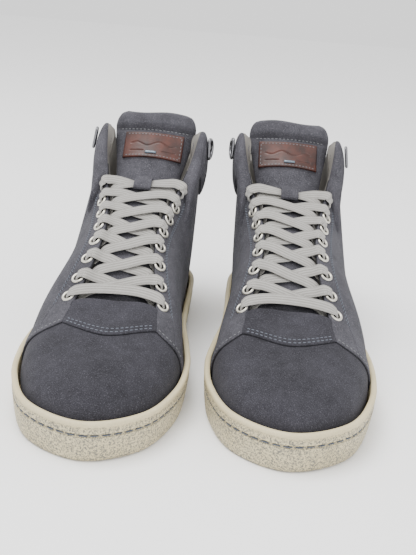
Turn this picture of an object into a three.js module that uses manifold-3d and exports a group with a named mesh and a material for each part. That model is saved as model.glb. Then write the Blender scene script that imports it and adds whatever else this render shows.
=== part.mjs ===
// A pair of suede high-top lace-up shoes with rubber cup soles, in millimetres.
// Each shoe is drawn as a right shoe: toe towards -Y, heel towards +Y, lateral side towards -X.
// The left shoe is its mirror image. The pair stands on Z = 0.

import * as THREE from 'three';
import { mergeVertices } from 'three/addons/utils/BufferGeometryUtils.js';
import Module from 'manifold-3d';

const wasm = await Module();
wasm.setup();

// Overall sizes
const lastLength = 291; // the foot form inside the sole rim, heel to toe
const ballWidth = 101; // the foot form across the ball of the foot
const earHeight = 145; // floor to the tip of the collar's front ears
const tongueAboveEars = 13; // how far the tongue stands above them
const shoeSpacing = 108.5; // centre line to centre line of the pair
const leftShoeBack = 7; // how far the left shoe stands behind the right one
const rightToeOut = 2.5; // degrees that the right shoe is turned toe outwards
const leftToeOut = -0.6;

// Cup sole, board and foam
const rimHeight = 24.6; // floor to the top of the rim
const rimStandOut = 5.8; // rim's outer edge beyond the foot form
const rimClearance = 1.8; // rim's inner edge beyond the foot form
const outsoleFloor = 7;
const midsoleThickness = 7;
const boardThickness = 2;
const insoleThickness = 5;
const stitchHeight = 16.5;
const stitchThread = 1.2;

// Upper materials, from the outside inwards
const gap = 0.3; // clearance between touching pieces
const layerGap = 0.6; // clearance between layers of the upper
const suede = 1.5;
const stiffener = 0.9;
const lining = 1.2;
const collarPad = 4.2; // how far the padded collar swells outwards
const collarDepth = 34; // height of the padded collar below its top edge
const eyestayWidth = 20;
const tonguePad = 6;
const tongueFootInset = 6.3; // tongue's side inside the throat's edge, at its foot
const tongueTopInset = 6.8; // tongue's side inside the ears' edge, at its top
const tongueWrap = 6; // how far its sides bend back
const tongueBaseThickness = 3.6;
const tongueClearance = 1.2; // lace above the tongue's face, behind the tape

// Lacing
const laceRows = 8; // the top row has a plain hole and no metal eyelet
const laceWidth = 8;
const laceThickness = 1.2;
const laceGap = 1.3; // clearance behind the tape and over the tongue
const eyeletInset = 8; // hole centre to the eyestay's front edge
const eyeletBore = 2.5;
const eyeletWall = 0.5;
const eyeletFlange = 4.3;
const flangeThickness = 0.6;
const flangeLift = 0.5; // flange above the eyestay's outer face
const holeSides = 6;
const pinched = 3.2; // width of the lace folded together in an eyelet

// Label, keeper and rings
const labelWidth = 42;
const labelHeight = 20;
const labelThickness = 1.4;
const keeperWidth = 12;
const ringHeight = 14;
const ringDepth = 10;
const ringWire = 1.1;
const barLength = 8;
const barHeight = 2;
const barThickness = 1;

// Stations run round the foot form from the heel (0) along one side to the toe (TOE) and back along the
// other side, so station c on the lateral side is opposite station LOOP - c on the medial side.
const TOE = 10;
const LOOP = 20;
const THROAT = 7.5; // where the toe panel starts
const TAB = 4.85; // where the padded collar meets the eyestay
const HEEL = 1.4; // where the heel patch meets the quarter
const puffStart = 8.5;
const counterEnd = 2.6;

const boardTop = outsoleFloor + gap + midsoleThickness + gap + boardThickness;
const featherHeight = boardTop + 0.5; // lower edge of the upper
const upperRise = earHeight - featherHeight;

// Feather line, where the upper meets the sole: place along the form, lateral and medial half widths,
// as shares of half the length and half the ball width.
const featherPlan = [
  [1.0, 0, 0], [0.94, 0.4, 0.4], [0.77, 0.66, 0.64], [0.52, 0.75, 0.69], [0.27, 0.83, 0.7],
  [0.03, 0.93, 0.73], [-0.2, 1.02, 0.83], [-0.43, 1.02, 0.9], [-0.67, 0.91, 0.84],
  [-0.89, 0.61, 0.57], [-1.0, 0, 0],
];
// Edge line: the collar's top edge, the ear, the eyestay's front edge, then a line across the vamp.
// Place along the form, half width, height above the feather line as a share of the ear's rise, and lean
// towards the medial side as a share of half the ball width.
const edgePlan = [
  [1.0, 0, 0.83, 0], [0.95, 0.39, 0.82, 0.05], [0.8, 0.61, 0.81, 0.08], [0.63, 0.69, 0.88, 0.09],
  [0.48, 0.68, 1.0, 0.09], [0.32, 0.53, 0.74, 0.05], [-0.02, 0.35, 0.56, 0.03], [-0.385, 0.5, 0.31, 0.03],
  [-0.61, 0.57, 0.21, 0.01], [-0.81, 0.33, 0.17, 0], [-0.93, 0, 0.14, 0],
];
// Ridge line along the top of the foot, where it exists: place, height and lean.
const ridgePlan = [
  [0.32, 0.77, 0.05], [0.32, 0.77, 0.05], [0.32, 0.77, 0.05], [0.32, 0.77, 0.05], [0.32, 0.77, 0.05],
  [0.32, 0.77, 0.05], [-0.02, 0.585, 0.03], [-0.375, 0.33, 0.03], [-0.605, 0.238, 0.01], [-0.765, 0.2, 0],
  [-0.84, 0.178, 0],
];

const halfLength = lastLength / 2;
const halfWidth = ballWidth / 2;

function loopOf(plan, point) {
  const points = [];
  for (let k = 0; k < LOOP; k += 1) {
    const row = plan[k <= TOE ? k : LOOP - k];
    points.push(point(row, k <= TOE ? -1 : 1));
  }
  return points;
}

const featherLoop = loopOf(featherPlan, ([along, lateral, medial], side) => new THREE.Vector3(
  side * halfWidth * (side < 0 ? lateral : medial), halfLength * along, featherHeight));
const edgeLoop = loopOf(edgePlan, ([along, half, rise, lean], side) => new THREE.Vector3(
  halfWidth * (side * half + lean), halfLength * along, featherHeight + upperRise * rise));
const ridgeLoop = loopOf(ridgePlan, ([along, rise, lean]) => new THREE.Vector3(
  halfWidth * lean, halfLength * along, featherHeight + upperRise * rise));
const tongueFootHalf = halfWidth * edgePlan[5][1] - tongueFootInset;
const tongueTopHalf = halfWidth * edgePlan[4][1] - tongueTopInset;

// A closed uniform Catmull-Rom curve through the loop's points, at station c.
function onLoop(loop, c) {
  const k = Math.floor(c);
  const t = c - k;
  const weights = [
    (-t + 2 * t * t - t * t * t) / 2, (2 - 5 * t * t + 3 * t * t * t) / 2,
    (t + 4 * t * t - 3 * t * t * t) / 2, (-t * t + t * t * t) / 2,
  ];
  const point = new THREE.Vector3();
  weights.forEach((w, j) => point.addScaledVector(loop[(k + j - 1 + 2 * LOOP) % LOOP], w));
  return point;
}

function outwardInPlan(c) {
  const along = onLoop(featherLoop, c + 0.05).sub(onLoop(featherLoop, c - 0.05));
  return new THREE.Vector3(-along.y, along.x, 0).normalize().negate();
}

// 0 beside the ankle, 1 over the forefoot
function forefootShare(c) {
  const fromHeel = c <= TOE ? c : LOOP - c;
  return THREE.MathUtils.smoothstep(fromHeel, 4.6, 6.8);
}

function hermite(a, tangentA, b, tangentB, t) {
  return new THREE.Vector3()
    .addScaledVector(a, 2 * t ** 3 - 3 * t * t + 1)
    .addScaledVector(tangentA, t ** 3 - 2 * t * t + t)
    .addScaledVector(b, -2 * t ** 3 + 3 * t * t)
    .addScaledVector(tangentB, t ** 3 - t * t);
}

// The foot form's surface: v = 0 at the feather line, 1 at the edge line and 2 at the ridge.
function form(c, v) {
  const share = forefootShare(c);
  const feather = onLoop(featherLoop, c);
  const edge = onLoop(edgeLoop, c);
  const span = edge.clone().sub(feather);
  const level = new THREE.Vector3(span.x, span.y, 0);
  const up = new THREE.Vector3(0, 0, span.z);
  const bulge = outwardInPlan(c).multiplyScalar(span.z * THREE.MathUtils.lerp(0.1, 0.16, share));
  const leave = bulge.clone().addScaledVector(up, THREE.MathUtils.lerp(1.0, 1.7, share));
  const arrive = up.clone().multiplyScalar(THREE.MathUtils.lerp(0.9, 0.45, share))
    .addScaledVector(level, THREE.MathUtils.lerp(1.0, 1.35, share));
  if (v <= 1) return hermite(feather, leave, edge, arrive, v);
  const ridge = onLoop(ridgeLoop, c);
  const rest = ridge.clone().sub(edge);
  const onward = arrive.clone().multiplyScalar(rest.length() / arrive.length());
  const across = new THREE.Vector3(rest.x, 0, 0);
  return hermite(edge, onward, ridge, across, v - 1);
}

// The toe seam leaves the sole behind the throat's station and dips towards the toe over the ridge. Every
// piece near it is drawn with the same shift of stations, so that their edges keep in line.
const seamBack = 0.26;
const seamForward = 0.42;
function shifted(c, v) {
  const fromHeel = c <= TOE ? c : LOOP - c;
  const near = THREE.MathUtils.smoothstep(fromHeel, THROAT - 0.55, THROAT)
    * (1 - THREE.MathUtils.smoothstep(fromHeel, THROAT, THROAT + 1.3));
  const shift = seamForward * THREE.MathUtils.smoothstep(v, 1.05, 2)
    - seamBack * (1 - THREE.MathUtils.smoothstep(v, 0, 0.9));
  return c + (c <= TOE ? shift : -shift) * near;
}

function slopeNormal(c, v) {
  const step = 0.02;
  const along = form(c + step, v).sub(form(c - step, v));
  const up = form(c, v + step).sub(form(c, Math.max(v - step, -step)));
  return along.cross(up).normalize();
}

// The outward normal. Both sides share one upright normal along the ridge.
function normalAt(c, v) {
  if (v < 1.999) return slopeNormal(c, Math.min(v, 1.96));
  const both = slopeNormal(c, 1.96).add(slopeNormal(LOOP - c, 1.96));
  return both.setX(0).normalize();
}

function offsetPoint(station, v, offset) {
  const c = shifted(station, v);
  return form(c, v).addScaledVector(normalAt(c, v), offset);
}

function columnLength(c) {
  let length = 0;
  for (let k = 0; k < 8; k += 1) length += form(c, k / 8).distanceTo(form(c, (k + 1) / 8));
  return length;
}

// The v of a line that lies the given distance below the edge line
function belowEdge(c, distance) {
  return 1 - distance / columnLength(c);
}

function asGeometry(positions, index) {
  const geometry = new THREE.BufferGeometry();
  geometry.setAttribute('position', new THREE.Float32BufferAttribute(positions, 3));
  geometry.setIndex(index);
  return geometry;
}

function signedVolume(geometry) {
  const p = geometry.attributes.position;
  const index = geometry.index.array;
  const corner = (k) => new THREE.Vector3().fromBufferAttribute(p, index[k]);
  let volume = 0;
  for (let k = 0; k < index.length; k += 3) volume += corner(k).dot(corner(k + 1).cross(corner(k + 2)));
  return volume / 6;
}

function facingOut(geometry) {
  if (signedVolume(geometry) < 0) geometry.setIndex(Array.from(geometry.index.array).reverse());
  return geometry;
}

// A sheet with thickness. rows[i][j] = {inner, outer} points; rows that meet are welded.
function thickSheet(rows) {
  const vertices = [];
  const find = new Map();
  const idOf = (pair) => {
    const key = [pair.outer, pair.inner].flatMap((p) => p.toArray()).map((x) => Math.round(x * 500)).join();
    if (!find.has(key)) {
      find.set(key, vertices.length);
      vertices.push(pair);
    }
    return find.get(key);
  };
  const ids = rows.map((row) => row.map(idOf));
  const faces = [];
  const addFace = (a, b, c) => {
    if (a !== b && b !== c && c !== a) faces.push([a, b, c]);
  };
  for (let i = 0; i + 1 < ids.length; i += 1) {
    for (let j = 0; j + 1 < ids[i].length; j += 1) {
      addFace(ids[i][j], ids[i + 1][j], ids[i + 1][j + 1]);
      addFace(ids[i][j], ids[i + 1][j + 1], ids[i][j + 1]);
    }
  }
  const used = new Set();
  faces.forEach((f) => f.forEach((a, k) => used.add(`${a},${f[(k + 1) % 3]}`)));
  const count = vertices.length;
  const index = [];
  faces.forEach(([a, b, c]) => {
    index.push(a, b, c, count + a, count + c, count + b);
    [[a, b], [b, c], [c, a]].forEach(([p, q]) => {
      if (!used.has(`${q},${p}`)) index.push(p, count + p, q, q, count + p, count + q);
    });
  });
  const positions = [...vertices.map((p) => p.outer), ...vertices.map((p) => p.inner)];
  return facingOut(asGeometry(positions.flatMap((p) => p.toArray()), index));
}

function span(from, to, steps) {
  return Array.from({ length: steps + 1 }, (_, k) => from + ((to - from) * k) / steps);
}

// Stations every quarter or half, pulled in by half the clearance at both cut edges, which are shares of a
// station of about 34 mm
function stations(from, to, step = 0.5) {
  const trim = 0.01;
  const inside = [];
  for (let c = Math.ceil((from + 0.1) / step) * step; c < to - 0.1; c += step) inside.push(c);
  return [from + trim, ...inside, to - trim];
}

// A panel of the upper between two stations and two lines given as functions of the station
function panel(columns, low, high, steps, inner, outer) {
  return thickSheet(columns.map((c) => {
    const trim = (0.6 * gap) / columnLength(c);
    const top = high(c);
    return span(low(c) + trim, top === 2 ? top : top - trim, steps).map((v) => ({
      outer: offsetPoint(c, v, typeof outer === 'number' ? outer : outer(c, v)),
      inner: offsetPoint(c, v, typeof inner === 'number' ? inner : inner(c, v)),
    }));
  }));
}

// A stack of closed rings with flat ends
function ringStack(rings, closed = false) {
  const count = rings[0].length;
  const positions = rings.flat().flatMap((p) => p.toArray());
  const index = [];
  const last = closed ? rings.length : rings.length - 1;
  for (let i = 0; i < last; i += 1) {
    const next = (i + 1) % rings.length;
    for (let j = 0; j < count; j += 1) {
      const k = (j + 1) % count;
      index.push(i * count + j, i * count + k, next * count + k);
      index.push(i * count + j, next * count + k, next * count + j);
    }
  }
  if (!closed) {
    [rings[0], rings[rings.length - 1]].forEach((ring, end) => {
      const base = end * (rings.length - 1) * count;
      THREE.ShapeUtils.triangulateShape(flatten(ring), []).forEach(([a, b, c]) => {
        const straight = capOrder(count, end, a, b, c);
        index.push(...(straight ? [base + a, base + b, base + c] : [base + a, base + c, base + b]));
      });
    });
  }
  return facingOut(asGeometry(positions, index));
}

// The two directions in which a flat ring is widest
function flatten(ring) {
  const a = ring[0];
  const edge = ring[1].clone().sub(a).normalize();
  const normal = new THREE.Vector3();
  ring.forEach((p, k) => {
    const q = ring[(k + 1) % ring.length];
    normal.add(p.clone().sub(a).cross(q.clone().sub(a)));
  });
  normal.normalize();
  const other = normal.clone().cross(edge);
  return ring.map((p) => new THREE.Vector2(p.clone().sub(a).dot(edge), p.clone().sub(a).dot(other)));
}

// Walls run i -> next ring with edges j -> k, so the first cap uses k -> j and the last one j -> k
function capOrder(count, end, a, b, c) {
  const cyclic = (b - a + count) % count + (c - b + count) % count + (a - c + count) % count === count;
  return end === 0 ? !cyclic : cyclic;
}

function toManifold(geometry) {
  const bare = geometry.clone();
  Object.keys(bare.attributes).forEach((name) => name !== 'position' && bare.deleteAttribute(name));
  const merged = mergeVertices(bare, 1e-4);
  return new wasm.Manifold(new wasm.Mesh({
    numProp: 3,
    vertProperties: new Float32Array(merged.attributes.position.array),
    triVerts: new Uint32Array(merged.index.array),
  }));
}

function fromManifold(body) {
  const mesh = body.getMesh();
  return asGeometry(Array.from(mesh.vertProperties), Array.from(mesh.triVerts));
}

// The turn from upright to the form's normal
function standing(station, v) {
  const up = new THREE.Vector3(0, 1, 0);
  return new THREE.Quaternion().setFromUnitVectors(up, normalAt(shifted(station, v), v));
}

// A cylinder along the form's normal at (c, v), between two offsets
function plug(c, v, radius, from, to) {
  const geometry = new THREE.CylinderGeometry(radius, radius, to - from, holeSides);
  const middle = offsetPoint(c, v, (from + to) / 2);
  geometry.applyMatrix4(new THREE.Matrix4().compose(middle, standing(c, v), new THREE.Vector3(1, 1, 1)));
  return toManifold(geometry);
}

// One eyelet: a barrel through the facing with a flange clinched over its outer face
function eyelet(c, v, back) {
  const barrel = eyeletBore + eyeletWall;
  const top = flangeLift + flangeThickness;
  const profile = [
    [eyeletBore, back], [barrel, back], [barrel, flangeLift], [eyeletFlange, flangeLift], [eyeletFlange, top],
    [eyeletBore, top], [eyeletBore, back],
  ].map(([radius, height]) => new THREE.Vector2(radius, height));
  const geometry = new THREE.LatheGeometry(profile, holeSides);
  const foot = offsetPoint(c, v, 0);
  geometry.applyMatrix4(new THREE.Matrix4().compose(foot, standing(c, v), new THREE.Vector3(1, 1, 1)));
  return toManifold(geometry);
}

const onSide = (side, c) => (side === 'lateral' ? c : LOOP - c);

// ---------------------------------------------------------------- sole

// closer stations round the toe, where the outline turns most
const soleStations = [...span(0, 8.5, 17), ...span(8.75, 11.25, 10), ...span(11.5, 19.5, 16)];

function soleRing(offset, height) {
  return soleStations.map((c) => {
    const point = onLoop(featherLoop, c).addScaledVector(outwardInPlan(c), offset);
    return point.setZ(height);
  });
}

function outsole() {
  const wall = [
    [1.8, 0], [3.2, 1.6], [5.0, 19], [rimStandOut, 21.6], [rimStandOut - 1.2, rimHeight],
    [rimClearance, rimHeight - 0.6], [0.5, outsoleFloor],
  ];
  return ringStack(wall.map(([offset, height]) => soleRing(offset, height)));
}

function slab(offset, from, to) {
  return ringStack([soleRing(offset, from), soleRing(offset, to)]);
}

function stitchRing() {
  const middle = 5.0 + gap + stitchThread / 2;
  const half = stitchThread / 2;
  const corners = [[-half, 0], [0, half], [half, 0], [0, -half]];
  const rings = corners.map(([out, up]) => soleRing(middle + out, stitchHeight + up));
  return ringStack(rings, true);
}

// ---------------------------------------------------------------- upper

const outerFace = 0;
const outerBack = -suede;
const stiffFace = outerBack - layerGap;
const stiffBack = stiffFace - stiffener;
const liningFace = stiffBack - layerGap;
const liningBack = liningFace - lining;
const tapeBack = outerBack - gap - stiffener;
const tongueDrop = laceGap + laceThickness + tongueClearance - tapeBack; // tongue's face below outerFace
const collarBack = liningBack - 0.4;
const collarLiningFace = collarBack - layerGap;
const collarLiningBack = collarLiningFace - lining;

const quarterTop = (c) => belowEdge(c, collarDepth);
const toTop = () => 1;
const toRidge = () => 2;
const fromFeather = () => 0;
const aboveFeather = () => 0.02;

function sideColumns(side, from, to, step) {
  const list = stations(from, to, step);
  return side === 'lateral' ? list : list.map((c) => LOOP - c).reverse();
}

function quarter(side) {
  const lower = (c) => belowEdge(c, eyestayWidth);
  const rearColumns = sideColumns(side, HEEL, TAB + 0.05, 0.25);
  const rear = panel(rearColumns, fromFeather, quarterTop, 4, outerBack, outerFace);
  const front = panel(sideColumns(side, TAB, THROAT, 0.25), fromFeather, lower, 4, outerBack, outerFace);
  return fromManifold(toManifold(rear).add(toManifold(front)));
}

const throughUpper = [-6, 4];
const firstRow = 6.86;
const lastRow = TAB + 0.2;
function eyeletPlace(row) {
  return THREE.MathUtils.lerp(firstRow, lastRow, row / (laceRows - 1));
}

function eyestay(side) {
  const low = (c) => belowEdge(c, eyestayWidth - gap);
  let body = toManifold(panel(sideColumns(side, TAB, THROAT, 0.25), low, toTop, 2, outerBack, outerFace));
  for (let row = 0; row < laceRows; row += 1) {
    const c = onSide(side, eyeletPlace(row));
    body = body.subtract(plug(c, belowEdge(c, eyeletInset), eyeletBore + eyeletWall + gap, ...throughUpper));
  }
  return fromManifold(body);
}

// Seven metal eyelets clinched through one strip of facing tape behind the eyestay
const tapeHalf = 5.5;
function eyeletRow(side) {
  const low = (c) => belowEdge(c, eyeletInset + tapeHalf);
  const high = (c) => belowEdge(c, eyeletInset - tapeHalf);
  const first = onSide(side, eyeletPlace(0) + 0.2);
  const last = onSide(side, eyeletPlace(laceRows - 2) - 0.12);
  const columns = stations(Math.min(first, last), Math.max(first, last), 0.25);
  let body = toManifold(panel(columns, low, high, 1, tapeBack, outerBack - gap));
  for (let row = 0; row + 1 < laceRows; row += 1) {
    const c = onSide(side, eyeletPlace(row));
    const v = belowEdge(c, eyeletInset);
    body = body.subtract(plug(c, v, eyeletBore + eyeletWall / 2, ...throughUpper));
    body = body.add(eyelet(c, v, tapeBack + 0.1));
  }
  return fromManifold(body);
}

function padOutline(c, v) {
  const low = belowEdge(c, collarDepth);
  const t = THREE.MathUtils.clamp((v - low) / (1 - low), 0, 1);
  return collarPad * Math.sqrt(Math.max(0, Math.sin(Math.PI * Math.min(0.06 + 0.94 * t, 1))));
}

function collar(from, to) {
  const low = (c) => belowEdge(c, collarDepth - 4 * layerGap);
  return panel(stations(from, to, 0.25), low, toTop, 4, collarBack, padOutline);
}

// the collar stops short of the eyestay by more where it reaches deeper inwards
const collarEnd = TAB + 0.006 * collarBack;

// A stiffener pasted between the upper and its lining
function stiffenerPanel(from, to, top, steps) {
  return panel(stations(from, to), aboveFeather, () => top, steps, stiffBack, stiffFace);
}

function collarLining() {
  const low = (c) => belowEdge(c, collarDepth + 3);
  const high = (c) => belowEdge(c, 1);
  return panel(stations(-4.7, 4.7), low, high, 2, collarLiningBack, collarLiningFace);
}

// One lining from the toe to the heel, open at the throat and at the ankle
function innerLining() {
  const steps = 3;
  const rows = span(0, LOOP, 2 * LOOP).map((c) => {
    const fromHeel = c < TOE ? c : LOOP - c;
    const depth = fromHeel < TAB + 0.4 ? collarDepth + 2.5 : eyestayWidth - 2;
    const covered = fromHeel >= THROAT + 0.5;
    const levels = span(0.004, covered ? 1 : belowEdge(c, depth), steps);
    const over = covered ? span(1, 2, steps).slice(1) : Array(steps).fill(levels[steps]);
    return [...levels, ...over].map((v) => ({
      outer: offsetPoint(c, v, liningFace),
      inner: offsetPoint(c, v, liningBack),
    }));
  });
  return thickSheet(rows);
}

// A band from one edge line over the ridge to the other, between two stations
function overRidge(columns, from, outer, inner) {
  return thickSheet(columns.map((c) => {
    const levels = [from, ...span(1.25, 2, 3)];
    const at = (station, v) => ({
      outer: offsetPoint(station, v, outer), inner: offsetPoint(station, v, inner),
    });
    return [...levels.map((v) => at(c, v)), ...levels.slice(0, -1).reverse().map((v) => at(LOOP - c, v))];
  }));
}

const vampOverlay = () => overRidge(stations(7.05, THROAT, 0.25), 1.02, outerFace, layerGap - tongueDrop);

// ---------------------------------------------------------------- tongue

const FOLD = 5.02; // where the tongue bends back, level with the top of the throat
const tongueBack = -tongueDrop - tongueBaseThickness;
const tongueBase = () => overRidge(stations(FOLD + 0.01, THROAT - 0.15), 0.97, -tongueDrop, tongueBack);

const tongueTop = earHeight + tongueAboveEars;
const tongueFoot = offsetPoint(FOLD, 2, (tongueBack - tongueDrop) / 2);
const tongueTip = new THREE.Vector3(halfWidth * edgePlan[4][3], tongueFoot.y + 33, tongueTop - 3.5);
const tongueBend = tongueFoot.clone().lerp(tongueTip, 0.5).add(new THREE.Vector3(0, 4.5, -6));
const tongueLine = new THREE.QuadraticBezierCurve3(tongueFoot, tongueBend, tongueTip);

function tongueHalf(t) {
  return THREE.MathUtils.lerp(tongueFootHalf, tongueTopHalf, THREE.MathUtils.smoothstep(t, 0, 1));
}

// u runs across the tongue from -1 to 1 and t up its middle; lift is the distance in front of its middle
function tonguePoint(u, t, lift) {
  const middle = tongueLine.getPoint(t);
  const along = tongueLine.getTangent(t);
  const front = new THREE.Vector3(0, -along.z, along.y).normalize();
  const half = tongueHalf(t);
  const setBack = tongueWrap * u * u;
  return middle.addScaledVector(front, lift - setBack).add(new THREE.Vector3(u * half, 0, 0));
}

function tongueUpper() {
  // as thin as the base at the fold, full above it, fuller in the roll, and rounded off at the top
  const fullness = [tongueBaseThickness / tonguePad, 1, 1, 1, 1, 1.25, 0.6];
  const rows = fullness.map((full, k) => span(-1, 1, 6).map((u) => {
    const edge = 1 - 0.5 * u ** 4;
    const swell = (tonguePad / 2) * full * edge;
    const place = THREE.MathUtils.lerp(0.05, 1, k / (fullness.length - 1));
    return { outer: tonguePoint(u, place, swell), inner: tonguePoint(u, place, -swell) };
  }));
  return thickSheet(rows);
}

function onTongue(x, t, lift) {
  return tonguePoint(x / tongueHalf(t), t, lift);
}

const labelPlace = 0.56; // share of the way up the tongue
const labelSkew = 2; // towards the medial side
const labelLift = 0.5;

function label() {
  const reach = labelHeight / 2 / tongueLine.getLength();
  const face = tonguePad / 2 + labelLift;
  const rows = span(labelPlace - reach, labelPlace + reach, 3).map((t) => (
    span(-labelWidth / 2, labelWidth / 2, 6).map((x) => ({
      outer: onTongue(x + labelSkew, t, face + labelThickness),
      inner: onTongue(x + labelSkew, t, face),
    }))));
  return thickSheet(rows);
}

function labelBar() {
  const geometry = new THREE.BoxGeometry(barLength, barHeight, barThickness);
  const t = labelPlace - 0.11;
  const along = tongueLine.getTangent(t);
  geometry.rotateX(Math.atan2(along.z, along.y));
  const seat = tonguePad / 2 + labelLift + labelThickness;
  const place = onTongue(labelSkew - 1, t, seat + gap + 0.6 * barThickness);
  geometry.translate(place.x, place.y, place.z);
  return geometry;
}

// ---------------------------------------------------------------- lace and keeper

// Heights of the lace's middle above the form: over the eyestay, over a flange, behind the tape, and the
// lower and the upper of two runs that cross on the tongue
const laceHalfThickness = laceThickness / 2;
const overEyestay = flangeLift + flangeThickness + 0.8 + laceHalfThickness;
const overFlange = overEyestay + 0.9;
const behindTape = tapeBack - laceGap - laceHalfThickness;
const lowerRun = laceGap + laceHalfThickness - tongueDrop;
const upperRun = lowerRun + laceThickness + layerGap;

function laceHalf(startSide) {
  const path = [];
  const add = (side, row, v, offset, width) => {
    const c = onSide(side, row);
    path.push({ point: offsetPoint(c, v, offset), width, c, v });
  };
  const other = (side) => (side === 'lateral' ? 'medial' : 'lateral');
  const hole = (side, row) => {
    const c = eyeletPlace(row);
    const v = belowEdge(onSide(side, c), eyeletInset);
    const near = belowEdge(onSide(side, c), eyeletInset - 3.4);
    add(side, c, near, overFlange, pinched + 2.4);
    add(side, c, v, overEyestay + 0.3, pinched + 0.4);
    add(side, c, v, -0.4, pinched);
    add(side, c, v, behindTape + 0.4, pinched);
    if (row === laceRows - 1) {
      add(side, c, v, behindTape - 0.8, pinched);
      return;
    }
    add(side, c, near, behindTape, pinched + 1.2);
  };
  let side = startSide;
  const first = eyeletPlace(0);
  add(side, first, 1.35, 0.4, laceWidth);
  add(side, first, 1.0, overEyestay, laceWidth);
  hole(side, 0);
  for (let row = 0; row + 1 < laceRows; row += 1) {
    const from = eyeletPlace(row);
    const to = eyeletPlace(row + 1);
    const at = (share) => THREE.MathUtils.lerp(from, to, share);
    const end = other(side);
    const top = end === 'medial';
    const level = top ? upperRun : lowerRun;
    const underKeeper = row + 2 === laceRows;
    const [lead, trail] = underKeeper ? [0.38, 0.62] : [0.3, 0.72];
    add(side, at(0.1), 1.0, behindTape, laceWidth - 0.6);
    add(side, at((0.1 + lead) / 2), 1.25, lowerRun + 0.6, laceWidth);
    add(side, at(lead), 1.5, top ? upperRun - 1 : lowerRun, laceWidth);
    add(side, at(0.5), 2, level, underKeeper ? laceWidth - 3 : laceWidth);
    add(end, at(trail), 1.5, level + 1, laceWidth);
    add(end, at((trail + 0.92) / 2), 1.25, level + 2, laceWidth);
    add(end, at(0.92), 1.0, overEyestay, laceWidth);
    hole(end, row + 1);
    side = end;
  }
  return path;
}

function lace() {
  const right = laceHalf('medial');
  const left = laceHalf('lateral').reverse();
  const path = [...left, ...right];
  const rings = path.map(({ point, width, c, v }, k) => {
    const before = path[Math.max(k - 1, 0)].point;
    const after = path[Math.min(k + 1, path.length - 1)].point;
    const into = point.clone().sub(before);
    const out = after.clone().sub(point);
    if (into.length() === 0) into.copy(out);
    if (out.length() === 0) out.copy(into);
    into.normalize();
    out.normalize();
    const along = into.clone().add(out).normalize();
    const miter = 1 / Math.max(0.6, along.dot(out));
    const run = form(c + 0.05, Math.min(v, 1.9)).sub(form(c - 0.05, Math.min(v, 1.9))).normalize();
    if (c > TOE) run.negate();
    const wide = run.addScaledVector(along, -run.dot(along)).normalize();
    const thin = along.clone().cross(wide).multiplyScalar((miter * laceThickness) / 2);
    wide.multiplyScalar(width / 2);
    return [[-1, -1], [1, -1], [1, 1], [-1, 1]].map(([w, h]) => (
      point.clone().addScaledVector(wide, w).addScaledVector(thin, h)));
  });
  return ringStack(rings);
}

function keeper() {
  const middle = (eyeletPlace(laceRows - 2) + eyeletPlace(laceRows - 1)) / 2;
  const reach = 0.138;
  const foot = -tongueDrop + gap;
  // outer and inner corners, each a share of the reach along the ridge and a height
  const arch = [
    [-1.15, foot, -0.87, foot], [-1.15, 0.7, -0.87, -0.6], [1, 0.7, 0.72, -0.6], [1, foot, 0.72, foot],
  ];
  const rows = arch.map(([outerShare, outerRise, innerShare, innerRise]) => [-1, 1].map((w) => {
    const sideways = new THREE.Vector3((w * keeperWidth) / 2, 0, 0);
    return {
      outer: offsetPoint(middle + outerShare * reach, 2, outerRise).add(sideways),
      inner: offsetPoint(middle + innerShare * reach, 2, innerRise).add(sideways),
    };
  }));
  return thickSheet(rows);
}

// ---------------------------------------------------------------- rings

const ringStation = 3.95;
const ringBelow = 13;
const ringLift = collarPad + gap + ringWire;

// Where a ring's bar stands on the ear, with the way out of the ear and the way to its rear
function ringSeat(side) {
  const c = onSide(side, ringStation);
  const v = belowEdge(c, ringBelow);
  const out = normalAt(c, v);
  const place = offsetPoint(c, v, ringLift);
  const up = new THREE.Vector3(0, 0, 1).addScaledVector(out, -out.z).normalize();
  const rear = up.clone().cross(out).normalize();
  if (rear.y < 0) rear.negate();
  return { place, out, up, rear };
}

function dRing(side) {
  const { place, out, up, rear } = ringSeat(side);
  const outline = span(-1, 1, 4).slice(0, -1).map((s) => [0, (s * ringHeight) / 2]);
  span(Math.PI / 2, -Math.PI / 2, 10).slice(0, -1).forEach((angle) => {
    outline.push([ringDepth * Math.cos(angle) ** 0.8, (ringHeight / 2) * Math.sin(angle)]);
  });
  const path = outline.map(([back, high]) => (
    place.clone().addScaledVector(rear, back).addScaledVector(up, high)));
  const rings = path.map((point, k) => {
    const before = path[(k - 1 + path.length) % path.length];
    const along = path[(k + 1) % path.length].clone().sub(before).normalize();
    const inward = along.clone().cross(out).normalize();
    return span(0, 2 * Math.PI, 6).slice(0, -1).map((angle) => (
      point.clone().addScaledVector(out, ringWire * Math.cos(angle))
        .addScaledVector(inward, ringWire * Math.sin(angle))));
  });
  return ringStack(rings, true);
}

// ---------------------------------------------------------------- assembly

const colours = {
  suede: ['#5b5b66', 0.95, 0], darkSuede: ['#4d4d58', 0.95, 0], rubber: ['#d9d2bd', 0.7, 0],
  thread: ['#4a5260', 0.8, 0], foam: ['#cfcabd', 0.9, 0], board: ['#9a8f7c', 0.9, 0],
  leather: ['#c9c4b8', 0.6, 0], label: ['#8a4b30', 0.5, 0], lace: ['#b9b5ac', 0.9, 0],
  metal: ['#b5b3ad', 0.35, 1],
};

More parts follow.
